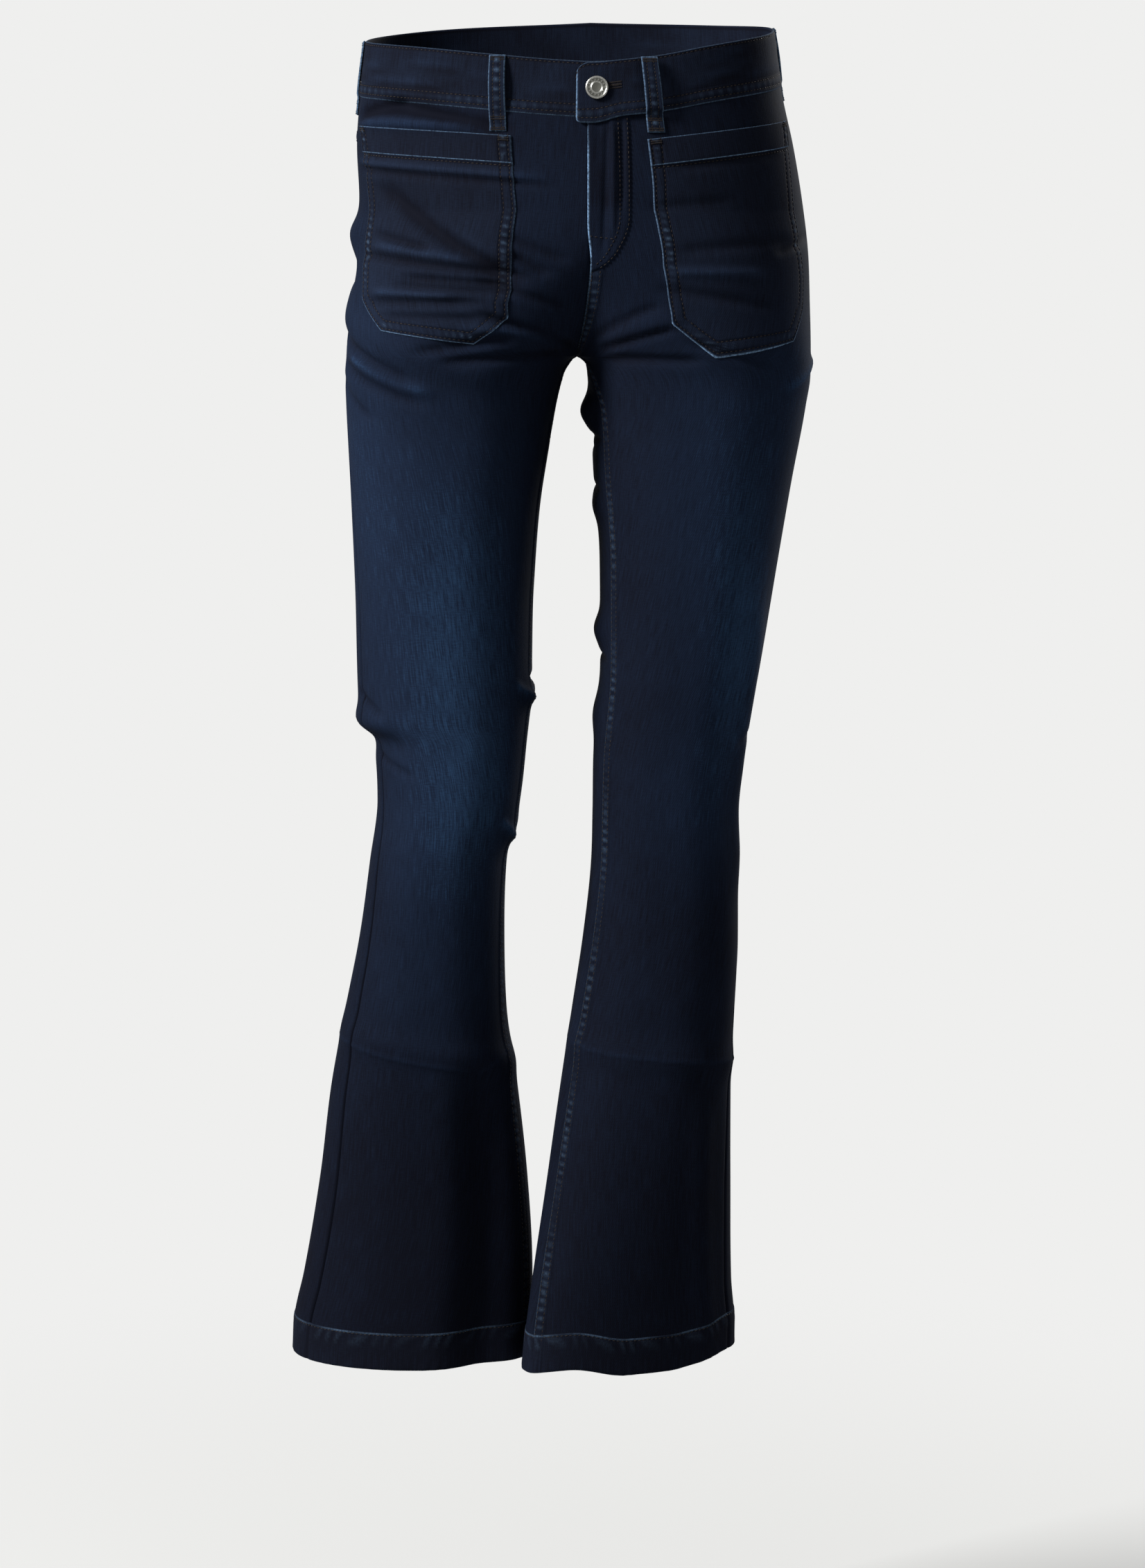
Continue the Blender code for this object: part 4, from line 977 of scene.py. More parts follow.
def band_line(down, extra=0.0):
    """Face, reverse, waves and run round the band, at distances down it in millimetres."""
    depths, faces, reverses = np.array(BAND_SHAPE).T
    down = np.asarray(down, float)
    face, reverse = (np.interp(down, depths, heights) * MM for heights in (faces, reverses))
    columns, run, last = [], 0.0, None
    for side, g, over, droop, from_tip in band_stations():
        edge = waist_edge(side, g)
        top = edge - LAP_TOP_DROOP * droop - round_off(from_tip, LAP_TOP_ROUND)
        foot = edge - BAND_HEIGHT - LAP_DROOP * droop + round_off(from_tip, LAP_FOOT_ROUND)
        z = top + (foot - top) * down / depths[-1]
        here = cloth(side, np.array([edge]), np.array([g]))[0]
        run += 0.0 if last is None else np.linalg.norm(here - last)
        last = here
        wave = (0.7 * bell((down - 3) / 3.5) * puckers(run, 7.0)
                + bell((down - 36) / 3.0) * puckers(run * 0.9, 9.0))
        turned = np.clip(1 - from_tip / LAP_END_ROUND, 0, 1)
        thin = LAP_END_DROP * (1 - np.sqrt(1 - turned**2))
        lift = over * (BAND_THICK + BAND_GAP)
        rise = (0.22 * wave + band_crease(down, run)) * MM
        pair = layers(side, z, g, lift + face + rise - thin + extra, lift + reverse)
        columns.append((*pair, wave, np.full(len(down), run)))
    return [np.array(grid).swapaxes(0, 1) for grid in zip(*columns)]


def make_waistband():
    """The strip round the waist, from the tip of its lap right round to its under end."""
    down = np.array(BAND_SHAPE)[:, :1]
    outer, inner, waves, run = band_line(down[:, 0])
    uv = np.stack([run, np.broadcast_to(-down * MM, run.shape)], axis=2)
    strip = bell((down - 36.0) / 3.2)
    worn = rubbed(down * 1.3, 0.16) + rubbed((42.1 - down) * 0.9, 0.45)
    worn = worn + rubbed(np.abs(run / MM - 0.3), 0.6) + 0.07 * np.clip(waves, 0, 1) * strip
    blotch = np.sin(run / (31 * MM)) * np.sin(run / (11 * MM) + down / 9)
    fade_and_shade = 0.02 + 0.07 * strip + 0.06 * blotch
    # Painted shade in the troughs of the band's puckers and in the grooves of its rows
    fade_and_shade = fade_and_shade - 0.05 * np.clip(-waves, 0, 1) * strip - painted_groove_shade(down, BAND_ROWS_SEWN)
    # The creases' crests painted paler (wear and painted highlight), with painted shade beside
    # them
    fade_and_shade = fade_and_shade + CREST_FADE_AND_HIGHLIGHT * band_crease(down, run)
    obj = shell("waistband_piece", outer, inner, uv, fade_and_shade, worn, (TRIM, TRIM))
    return dress(obj, "waistband")


waistband = make_waistband()
told(waistband)

# %% [markdown]
# ## The fly
#
# The zip is hidden behind the left front, whose folded edge passes the centre line. What
# shows is that fold, rubbed pale, and the J of stitching that holds the facing inside. The
# cloth only swells a little over the facing, so the piece's outer edge is made to sink away.

# %% Making the fly
# How far its outer edge lies from the centre line, by height, both in millimetres
FLY = (
    (-56, 38), (-66.5, 38.5), (-90, 39.5), (-112, 40), (-134, 40), (-146, 38), (-156, 33.5),
    (-165, 28), (-172, 20), (-177, 10), (-181, 2),
)
FLY_FOLD = -3.5 * MM  # the folded edge lies this far past the centre at the top
FLY_FOLD_FOOT = -178 * MM  # and it comes back to the centre here
FLY_ROWS = 90
FLY_SINK = 7 * MM
FLY_REVERSE = -0.6 * MM  # its reverse lies inside the panel
FOLD_COLUMNS = (0, 0.12, 0.4, 0.9, 1.6, 2.6, 4, 5.5, 7.5)


def fold_line(z):
    """How far across the fly's folded edge lies."""
    return FLY_FOLD * soft_step((z - FLY_FOLD_FOOT) / (40 * MM))


def fly_edge(z):
    """How far across the fly's outer edge lies, where it has sunk away."""
    return follow(FLY, z / MM) * MM - FLY_SINK


def near_centre(z, x, *lifts):
    """Points on the front cloth at distances x from the centre line, to the wearer's left."""
    z, x, *lifts = np.broadcast_arrays(z, x, *lifts)
    results = [np.empty(x.shape + (3,)) for _ in lifts]
    for side, chosen in (("left", x >= 0), ("right", x < 0)):
        g = np.abs(x[chosen]) / girth(side, z[chosen])
        parts = layers(side, z[chosen], g, *(lift[chosen] for lift in lifts))
        for result, part in zip(results, parts):
            result[chosen] = part
    return results


def fly_height(from_fold, from_edge, z):
    """How far the fly's face stands off the panel."""
    fold = np.interp(from_fold / MM, (0, 0.12, 0.4, 0.9, 1.6, 2.6),
                     (0.1, 0.6, 1.05, 1.3, 1.4, 1.35))
    swell = soft_step(from_edge / FLY_SINK)
    ripple = 0.4 * np.sin(2 * np.pi * from_fold / (15 * MM) + 1.0)
    ripple = ripple * soft_step((z + 125 * MM) / (60 * MM)) * soft_step(from_fold / (6 * MM))
    return MM * (swell * (0.45 + fold + ripple) - 0.4)


def make_fly():
    """The turned edge of the left front over the zip."""
    z = np.linspace(FLY[0][0], FLY[-1][0], FLY_ROWS)[:, None] * MM
    width = np.maximum(fly_edge(z) - fold_line(z), 2 * MM)
    fold = np.array(FOLD_COLUMNS) * MM * np.minimum(1, width / (2 * FOLD_COLUMNS[-1] * MM))
    share = np.linspace(0, 1, 26)[1:]
    from_fold = np.concatenate([fold, fold[:, -1:] + share * (width - fold[:, -1:])], axis=1)
    height = fly_height(from_fold, width - from_fold, z)
    z, x = np.broadcast_arrays(z, fold_line(z) + from_fold)
    outer, inner = near_centre(z, x, height, FLY_REVERSE)
    rope = 0.75 + 0.25 * np.sin(2 * np.pi * (z + from_fold) / (2.6 * MM))
    worn = rubbed(from_fold / MM * 0.6, 0.9) * rope * soft_step((-70 * MM - z) / (25 * MM))
    worn = worn + rubbed(from_fold / MM, 0.3)
    fade_and_shade = fade_and_fold_shade("left", z, np.full(z.shape, 0.1))
    obj = shell("fly_piece", outer, inner, np.stack([x, z], axis=2), fade_and_shade, worn, (FACE, FACE))
    return dress(obj, "fly_lap")


told(make_fly())

# %% [markdown]
# ## The patch pockets
#
# Each pocket is one flat piece laid on the front, with a wide band turned along its mouth
# and its lower corners cut off. Two rows of stitching hold it down 2.5 and 9.5 mm from its
# edge, and the strip between them puckers. It is made from the panel's own points, moved out.

# %% Sizes of the pockets: down each edge, a height and a distance round from the outseam
POCKET = {
    "right": table(
        "inner_height inner outer_height outer",
        (-74, 177, -65, 34), (-95, 180, -85, 41), (-118, 182, -107, 45), (-143, 185, -130, 49),
        (-168, 188, -154, 52), (-190, 189, -176, 54), (-211, 182, -197, 57), (-231, 148, -221, 77),
    ),
    "left": table(
        "inner_height inner outer_height outer",
        (-77, 180, -61, 39), (-97, 183, -81, 47), (-120, 186, -105, 53), (-146, 188, -130, 57),
        (-172, 188, -156, 57), (-195, 183, -180, 54), (-215, 177, -204, 56), (-241, 140, -229, 71),
    ),
}
POCKET_LIFT = 0.12 * MM
POCKET_SEAT = 0.04 * MM
POCKET_PUCKER = 0.4 * MM
POCKET_THICK = 1.25 * MM
POCKET_BAND_THICK = 1.9 * MM
POCKET_EDGE = (0, 0.15, 0.5, 1.1, 1.8, 2.5, 3.2, 4.5, 6, 7.5, 8.8, 9.5, 10.2, 11.5)
# Height of the pocket's face by distance from its edge, as a share of its thickness
POCKET_PROFILE = ((0, 0.08), (0.15, 0.55), (0.5, 0.9), (1.1, 1.0), (1.8, 0.95), (2.5, 0.6),
                  (3.2, 0.95), (6, 1.05), (8.8, 0.95), (9.5, 0.6), (10.2, 0.9), (11.5, 0.95))
BAND_SHARE = 1 / 7  # the band takes the first of the seven steps down the pocket
BAND_ROW = 1.9  # millimetres from the band's foot down to the row that holds it
POCKET_DEPTH = 168 * MM
CORNER = 6 / 7  # the lower corners are cut off from this share down
CUT = 0.28  # and there an edge is nearer than its distance across by this share


def pocket_place(side, down, across):
    """Heights and g at shares down and across a pocket."""
    sizes = POCKET[side]
    at = down * (len(sizes["inner"]) - 1)
    inner_z, inner, outer_z, outer = (np.interp(at, np.arange(len(size)), size)
                                      for size in sizes.values())
    z = inner_z + (outer_z - inner_z) * across
    inner_g = 1 - inner / girth(side, inner_z)
    outer_g = 1 - outer / girth(side, outer_z)
    return z, inner_g + (outer_g - inner_g) * across


def pocket_spans(side, down):
    """The pocket's width at shares down it."""
    z, g = pocket_place(side, np.stack([down, down]), np.array([[0.0], [1.0]]))
    return np.abs(np.diff(g * girth(side, z), axis=0))[0]


def slant(down):
    """How near an edge is for its distance across: less where the corners are cut off."""
    return 1 - CUT + CUT * soft_step((CORNER - down) / 0.03)


def pocket_grid(side, first, last, middle_rows, top_edge, foot_edge):
    """Shares down and across one layer, crowded near its edges, with distances to them."""
    depth = POCKET_DEPTH
    offsets = np.array(POCKET_EDGE) * MM / depth
    near_row = BAND_SHARE + (BAND_ROW + np.array([-1.2, -0.6, 0, 0.6, 1.2, 2])) * MM / depth
    start = first + offsets if top_edge else np.concatenate([[first], near_row])
    stop = last - offsets[::-1] if foot_edge else np.array([last])
    down = np.concatenate([start, np.linspace(start[-1], stop[0], middle_rows + 2)[1:-1], stop])
    width = pocket_spans(side, down)[:, None]
    edge = np.array(POCKET_EDGE) * MM / width
    share = np.linspace(0, 1, 52)[1:-1]
    across = np.concatenate([edge, edge[:, -1:] + share * (1 - 2 * edge[:, -1:]),
                             1 - edge[:, ::-1]], axis=1)
    down = np.broadcast_to(down[:, None], across.shape)
    side_gap = np.minimum(across, 1 - across) * width * slant(down)
    top_gap = (down - first) * depth if top_edge else np.full(down.shape, 1.0)
    foot_gap = (last - down) * depth if foot_edge else np.full(down.shape, 1.0)
    return down, across, side_gap, top_gap, foot_gap


def pocket_layer(name, side, grid, thick, sewn_foot):
    """One layer of a pocket, standing on the panel; its foot is sewn down or only folded."""
    down, across, side_gap, top_gap, foot_gap = grid
    z, g = pocket_place(side, down, across)
    gap = np.minimum(side_gap, foot_gap) if sewn_foot else side_gap
    nearest = np.minimum(np.minimum(gap, top_gap), foot_gap)
    offsets, shares = np.array(POCKET_PROFILE).T
    rise = np.interp(gap / MM, offsets, shares)
    for folded in (top_gap, foot_gap):
        rise = np.minimum(rise, np.interp(folded / MM, offsets[:4], shares[:4] + 0.1))
    along = (g - 1) * girth(side, z)
    run = np.where(side_gap < foot_gap, z, along)
    wave = puckers(1.25 * run, 5.0 + SIDES[side]) * bell((gap - 6 * MM) / (2.6 * MM))
    # Painted shade in the puckers' troughs and in the grooves of the two rows
    fade_and_shade = fade_and_fold_shade(side, z, g) - 0.08 * np.clip(-wave, 0, 1) - painted_groove_shade(gap / MM, (2.5, 9.5))
    if sewn_foot:
        under_band = (down - BAND_SHARE) * POCKET_DEPTH / MM - BAND_ROW
        rise = rise - 0.35 * bell(under_band / 0.7)
        # Painted shade in the groove under the band's row
        fade_and_shade = fade_and_shade - painted_groove_shade(under_band, (0.0,))
    height = POCKET_LIFT + thick * rise + POCKET_PUCKER * wave
    outer, inner = layers(side, z, g, height, POCKET_SEAT)
    foot = rubbed(np.minimum(foot_gap, side_gap + 9 * MM * (down < 5.9 / 7)) / MM, 0.75)
    worn = 1.8 * PUCKER_WEAR * np.clip(wave, 0, 1) ** 2 + rubbed(nearest / MM, 0.4) + foot
    return shell(name, outer, inner, np.stack([along, z], axis=2), fade_and_shade, worn, (TRIM, FACE),
                 flip=SIDES[side] < 0)


def make_pocket(side):
    """A pocket's body and the band along its mouth."""
    body_grid = pocket_grid(side, BAND_SHARE - 0.02, 1.0, 64, False, True)
    body = pocket_layer(f"pocket_piece_{side}", side, body_grid, POCKET_THICK, True)
    dress(body, f"pocket_{side}")
    band_grid = pocket_grid(side, 0.0, BAND_SHARE, 6, True, True)
    band = pocket_layer(f"pocket_band_piece_{side}", side, band_grid, POCKET_BAND_THICK, False)
    dress(band, f"pocket_band_{side}")
    return body, band


told(*(piece for side in SIDES for piece in make_pocket(side)))

# %% [markdown]
# ## The belt loops
#
# A belt loop is a narrow strip with its edges turned in and two rows of stitching. Its ends
# are folded under and held by bar tacks. It bows out a little from the band.

# %% Making the belt loops
LOOP_FOOT = 15 * MM
LOOP_TOP_CLEAR = 0.5 * MM
LOOP_SEAT_CLEAR = 0.06
LOOP_LEVEL = -30 * MM
LOOP_THICK = 1.6 * MM
LOOP_LENGTH = 57 * MM
LOOP_ROWS = 46
# Side, g at the top and at the foot, and how far it bows out in millimetres
LOOPS = (
    ("right", 0.316, 0.300, 3.6), ("left", 0.210, 0.222, 3.4), ("right", 1.0, 1.0, 0.3),
    ("left", 1.05, 1.05, 0.8), ("left", 2.0, 2.0, 3.6),
)
# Across the loop: distance from its middle in millimetres, and the height of its face
LOOP_SHAPE = (
    (-6.25, -0.9), (-6.15, -0.35), (-5.8, -0.05), (-5.0, 0.1), (-3.5, 0.08), (-2.7, -0.35),
    (-1.9, 0.12), (0, 0.18), (1.9, 0.12), (2.7, -0.35), (3.5, 0.08), (5.0, 0.1), (5.8, -0.05),
    (6.15, -0.35), (6.25, -0.9),
)
LOOP_SEWN = 0.2  # this share of the loop, at its foot, is sewn flat


def loop_place(number, share, offset):
    """(side, z, g, lift) of a belt loop's inner face, at shares down and offset across."""
    side, g_top, g_foot, bow = LOOPS[number]
    top = waist_edge(side, g_top) - LOOP_TOP_CLEAR
    foot = waist_edge(side, g_foot) - BAND_HEIGHT - LOOP_FOOT
    z = top + (foot - top) * share
    over = lap_share(g_top - LOOP_SEAT_CLEAR) if side == "left" else 0
    on_band = soft_step((z - foot - LOOP_FOOT + 1.5 * MM) / (3 * MM))
    seat = on_band * (BAND_PROUD + over * (BAND_THICK + BAND_GAP)) + BAND_GAP
    free = np.clip(share / (1 - LOOP_SEWN), 0, 1)
    lift = seat + bow * MM * np.sqrt(np.maximum(np.sin(np.pi * soft_step(free)), 0))
    at_back = g_top == 2
    half = "right" if at_back and offset <= 0 else side
    reach = -abs(offset) if at_back else offset
    length = girth(half, LOOP_LEVEL, 0 if g_top < 1 else 1)
    return half, z, g_top + (g_foot - g_top) * share + reach / length, lift


def make_loop(number):
    """One belt loop."""
    share = np.linspace(0, 1, LOOP_ROWS)
    ends = np.minimum(share, 1 - share) * (BAND_HEIGHT + LOOP_FOOT) / MM
    round_end = np.interp(ends, (0, 0.3, 1.0, 2.0), (-0.9, -0.4, -0.1, 0.0))
    columns = []
    for offset, face in LOOP_SHAPE:
        side, z, g, lift = loop_place(number, share, offset * MM)
        wave = puckers(share * LOOP_LENGTH, 11.0 + number) * bell(offset / 2.2)
        height = lift + LOOP_THICK + (face + round_end + 0.3 * wave) * MM
        pair = layers(side, z, g, np.maximum(height, lift + 0.3 * MM), lift)
        columns.append((*pair, wave))
    outer, inner, waves = (np.array(grid).swapaxes(0, 1) for grid in zip(*columns))
    offsets = np.array(LOOP_SHAPE)[:, 0]
    uv = np.stack(np.meshgrid(offsets * MM, -share * LOOP_LENGTH), axis=2)
    edge = np.minimum(6.25 - np.abs(offsets)[None, :], ends[:, None] + 0.3)
    worn = rubbed(edge, 0.45) + 1.6 * PUCKER_WEAR * np.clip(waves, 0, 1)
    # Painted shade in the puckers' troughs and in the grooves of the rows
    fade_and_shade = 0.08 - 0.12 * np.clip(-waves, 0, 1) - painted_groove_shade(np.abs(offsets), (2.7,), 0.16)
    side, g_top = LOOPS[number][:2]
    obj = shell(f"belt_loop_piece_{number + 1}", outer, inner, uv, fade_and_shade, worn, (TRIM, TRIM),
                flip=side == "right" or g_top == 2)
    return dress(obj, f"belt_loop_{number + 1}")


told(*(make_loop(number) for number in range(len(LOOPS))))

# %% [markdown]
# ## The stitching
#
# Each seam is sewn with core-spun polyester thread, dark brown here, about seven stitches to
# 25 mm. Stitches repeat along a path, so Geometry Nodes places them: each row is a curve,
# it is resampled at the stitch pitch, and a small capsule is put at every point along it.

# %% The stitch tree
STITCH_PITCH = 3.5 * MM
STITCH_LENGTH = 2.4 * MM
THREAD_THICKNESS = 0.85 * MM


def flecked(name, color, fleck, scale, detail, plain):
    """A finish that varies finely between two colours: its material, noise and sockets."""
    mat, tree, shader = new_material(name, plain)
    place = add(tree, "ShaderNodeTexCoord", out="Object")
    noise = add(tree, "ShaderNodeTexNoise",
                named={"Vector": place, "Scale": scale, "Detail": detail})
    tone = add(tree, "ShaderNodeMix", noise, named={6: linear(color), 7: linear(fleck)}, out=2,
               data_type="RGBA")
    tree.links.new(tone, shader["Base Color"])
    return mat, noise, shader


# Twisted thread has a soft shine and a slight change of colour along it
THREAD = flecked("core-spun polyester thread, dark brown", "#090808", "#1e1a19", 260.0, 2.0,
                 {"Roughness": 0.75, "Specular IOR Level": 0.06})[0]


def stitch_tree():
    """Puts a stitch at every pitch along each curve, and gives them the thread's material."""
    tree = bpy.data.node_groups.new("stitches along rows", "GeometryNodeTree")
    tree.is_modifier = True
    for name, kind in (("Rows", "Geometry"), ("Pitch", "Float"), ("Stitch length", "Float"),
                       ("Thread thickness", "Float"), ("Seed", "Int"), ("Thread", "Material")):
        tree.interface.new_socket(name, in_out="INPUT", socket_type="NodeSocket" + kind)
    tree.interface.new_socket("Stitches", in_out="OUTPUT", socket_type="NodeSocketGeometry")
    given = add(tree, "NodeGroupInput").node.outputs
    spaced = add(tree, "GeometryNodeResampleCurve",
                 named={"Curve": given["Rows"], "Length": given["Pitch"]}, mode="LENGTH")
    bead = add(tree, "GeometryNodeMeshUVSphere", named={"Segments": 6, "Rings": 5, "Radius": 0.5})
    thick = given["Thread thickness"]
    size = add(tree, "ShaderNodeCombineXYZ", thick, thick, given["Stitch length"])
    stitch = add(tree, "GeometryNodeTransform", named={"Geometry": bead, "Scale": size})
    along = add(tree, "GeometryNodeInputTangent")
    facing = add(tree, "FunctionNodeAlignRotationToVector", named={"Vector": along}, axis="Z")
    uneven = add(tree, "FunctionNodeRandomValue", (0.9, 0.9, 0.82), (1.1, 1.1, 1.05),
                 named={"Seed": given["Seed"]}, data_type="FLOAT_VECTOR")
    placed = add(tree, "GeometryNodeInstanceOnPoints", named={
        "Points": spaced, "Instance": stitch, "Rotation": facing, "Scale": uneven})
    real = add(tree, "GeometryNodeRealizeInstances", placed)
    soft = add(tree, "GeometryNodeSetShadeSmooth", real)
    add(tree, "NodeGroupOutput", add(tree, "GeometryNodeSetMaterial", named={
        "Geometry": soft, "Material": given["Thread"]}))
    return tree


STITCHES = stitch_tree()


def sew(name, rows, pitch=STITCH_PITCH, length=STITCH_LENGTH, thickness=THREAD_THICKNESS, seed=1):
    """Sews stitches along rows of points and returns them as one plain mesh object."""
    curve = bpy.data.curves.new(name, "CURVE")
    curve.dimensions = "3D"
    for points in rows:
        spline = curve.splines.new("POLY")
        spline.points.add(len(points) - 1)
        spline.points.foreach_set("co", np.c_[points, np.ones(len(points))].ravel())
    guide = add_object(name + "_guide", curve)
    modifier = guide.modifiers.new("stitches", "NODES")
    modifier.node_group = STITCHES
    values = {"Pitch": pitch, "Stitch length": length, "Thread thickness": thickness,
              "Seed": seed, "Thread": THREAD}
    for item in STITCHES.interface.items_tree:
        if item.name in values:
            modifier[item.identifier] = values[item.name]
    seen = guide.evaluated_get(bpy.context.evaluated_depsgraph_get())
    mesh = bpy.data.meshes.new_from_object(seen)
    mesh.name = name
    bpy.data.objects.remove(guide)
    obj = add_object(name, mesh)
    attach(obj, "root")
    return obj


# %% [markdown]
# Rows follow the same seam profiles as the cloth, so each one lies in its own groove. A
# thread sinks half into the cloth, so its centre is only just above the face.

# %% Where the rows run
THREAD_SEAT = 0.10 * MM
ROW_POINTS = 400
FELL_ROWS = (1.6, 8.0)  # millimetres from a felled edge
# Felled seams that are sewn: side, front (0) or back (1), and the heights they run between
FELLED_RUNS = (
    ("right", 0, CROTCH - 1 * MM, PANEL_FOOT), ("left", 0, CROTCH - 1 * MM, PANEL_FOOT),
    ("left", 0, -0.176, CROTCH + 1 * MM), ("left", 1, YOKE_LEVEL - 0.016, CROTCH + 1 * MM),
)


def felled_row(side, low, top, foot, offset):
    """A row beside the centre seam or the inseam, between two heights."""
    crossed = crotch_levels[(crotch_levels < top) & (crotch_levels > foot)]
    z = np.unique(np.concatenate([np.linspace(top, foot, ROW_POINTS), crossed]))
    g = offset / girth(side, z, low)
    height = inner_seam(side, low, z, np.full(len(z), offset))[0]
    return cloth(side, z, 2 - g if low else g, height + THREAD_SEAT)


def yoke_row(side, above):
    """A row along a yoke's lower edge."""
    g = np.linspace(1.01, 1.985, 220)
    return cloth(side, yoke_line(side, g) + above, g, profile(above, FELLED_SEAM) + THREAD_SEAT)


def hem_row(side):
    """The row round a hem."""
    g = np.linspace(0, 2, 500)
    return cloth(side, hem_edge(side, g) + HEM_HEIGHT - HEM_ROW * MM, g, 0.25 * MM)


def pocket_rows(side):
    """Two rows round a pocket's edge, and one along its band."""
    rows = []
    for inset in (2.5, 9.5):
        down_end = 1 - inset * MM / POCKET_DEPTH
        down = np.linspace(0.004, down_end, 160)
        share = inset * MM / pocket_spans(side, down) / slant(down)
        downs = np.concatenate([down, np.full(60, down_end), down[::-1]])
        across = np.concatenate([share, np.linspace(share[-1], 1 - share[-1], 60),
                                 1 - share[::-1]])
        thick = np.where(downs < BAND_SHARE, POCKET_BAND_THICK, POCKET_THICK)
        rows.append((downs, across, 0.6 * thick))
    under = np.full(90, BAND_SHARE + BAND_ROW * MM / POCKET_DEPTH)
    rows.append((under, np.linspace(0.02, 0.98, 90), 0.65 * POCKET_THICK))
    return [cloth(side, *pocket_place(side, down, across), POCKET_LIFT + height + THREAD_SEAT)
            for down, across, height in rows]


def fly_row(z, x):
    """A row on the fly, x from the centre line."""
    height = fly_height(x - fold_line(z), fly_edge(z) - x, z)
    return near_centre(z, x, height + THREAD_SEAT)[0]


def fly_rows():
    """The two rows of the J, and the short one across that holds the facing."""
    rows = []
    for inset in (6.0, 13.0):
        z = np.linspace(-0.062, -0.172 + 0.4 * (inset - 6) * MM, 120)
        rows.append(fly_row(z, np.maximum(fly_edge(z) - (inset - 1.5) * MM, 1 * MM)))
    z = np.linspace(-0.149, -0.151, 30)
    return rows + [fly_row(z, fold_line(z) + np.linspace(2, 18, 30) * MM)]


def on_loop(number, share, offset, above):
    """Points at shares down a belt loop and an offset across, above its inner face."""
    side, z, g, lift = loop_place(number, share, offset * MM)
    return cloth(side, z, g, lift + LOOP_THICK + above)


felled = [felled_row(*run, offset * MM) for offset in FELL_ROWS for run in FELLED_RUNS]
told(sew("leg_stitches", felled + [hem_row(side) for side in SIDES], seed=3))
top_rows = [yoke_row(side, above * MM) for side in SIDES for above in FELL_ROWS]
top_rows += [*band_line(BAND_ROWS_SEWN, extra=THREAD_SEAT)[0]]
top_rows += [row for side in SIDES for row in pocket_rows(side)] + fly_rows()
told(sew("top_stitches", top_rows, seed=5))
loop_rows = [on_loop(number, np.linspace(0.03, 0.97, 60), offset, THREAD_SEAT - 0.35 * MM)
             for number in range(len(LOOPS)) for offset in (-2.7, 2.7)]
told(sew("loop_stitches", loop_rows, pitch=2.6 * MM, length=2.0 * MM, seed=7))

# %% [markdown]
# ## Bar tacks and the buttonhole
#
# A bar tack is a dense zigzag that stops a seam from tearing. The buttonhole is edged with
# the same close stitches. Both are rows of short threads laid side by side across a line.

# %% Sewing the tacks
TACK_THREAD = 0.5 * MM
BUTTON_G = 0.019
BUTTON_HEIGHT = -39 * MM


def tacks(name, bars, seed):
    """Close threads across each bar, which is a pair of rows of points facing each other."""
    rows = [np.stack([a, b]) for first, second in bars for a, b in zip(first, second)]
    lengths = [np.linalg.norm(row[1] - row[0]) for row in rows]
    return sew(name, rows, pitch=1.2 * max(lengths), length=0.8 * max(lengths),
               thickness=TACK_THREAD, seed=seed)


def loop_edge(number, share):
    """One edge of a bar across a belt loop."""
    return [on_loop(number, np.array([share]), offset, 0.15 * MM)[0]
            for offset in np.arange(-5.2, 5.3, 0.6)]


def pocket_edge(side, end, below):
    """One edge of a bar across an end of a pocket's mouth, between its two rows."""
    down = np.full(14, below / POCKET_DEPTH)
    inset = np.linspace(2.2, 9.8, 14) * MM / pocket_spans(side, down)
    z, g = pocket_place(side, down, 1 - inset if end else inset)
    return cloth(side, z, g, POCKET_LIFT + 1.12 * POCKET_BAND_THICK)


def slit_edge(away):
    """One edge of the close threads, away from the slit that the button passes through."""
    across = np.arange(3, 22.5, 0.6) * MM
    g = across / girth("left", np.array([BUTTON_HEIGHT]))
    return cloth("left", BUTTON_HEIGHT + 0.12 * across + away * MM, g, ON_LAP + 0.15 * MM)


loop_bars = [[loop_edge(number, middle + half) for half in (-0.014, 0.014)]
             for number in range(len(LOOPS)) for middle in (0.05, 0.83, 0.965)]
pocket_bars = [[pocket_edge(side, end, below * MM) for below in (2.6, 4.4)]
               for side in SIDES for end in (0, 1)]
slit_bars = [[slit_edge(up * away) for away in (0.3, 2.1)] for up in (1, -1)]
told(tacks("loop_bar_tacks", loop_bars, 11), tacks("pocket_bar_tacks", pocket_bars, 13),
     tacks("buttonhole_stitches", slit_bars, 17))

# %% [markdown]
# ## The button
#
# A jeans button is a hollow brass cap, nickel-plated and pressed over a tack. It has a
# rolled rim, a sunken ring with raised marks, and a flat middle. A turned profile gives the
# rings, and small raised bars stand in for the marks in the ring.

# %% Making the button
BUTTON_SIDES = 72
# Radius and height in millimetres, from the back's edge round the rim to the middle
BUTTON_PROFILE = (
    (3.4, 0.0), (7.0, 0.1), (8.2, 0.5), (8.65, 1.1), (8.75, 1.7), (8.55, 2.25), (8.1, 2.6),
    (7.7, 2.7), (7.3, 2.6), (7.0, 2.3), (6.7, 2.1), (4.9, 2.05), (4.6, 2.2), (4.4, 2.45),
    (4.1, 2.55), (3.8, 2.45), (3.6, 2.2), (3.3, 2.1), (0.05, 2.05),
)
RING_STEPS = (9, 10, 16, 17)  # the steps of the profile that lie in the sunken rings
MARKS = 14
MARK_RADIUS = 5.8


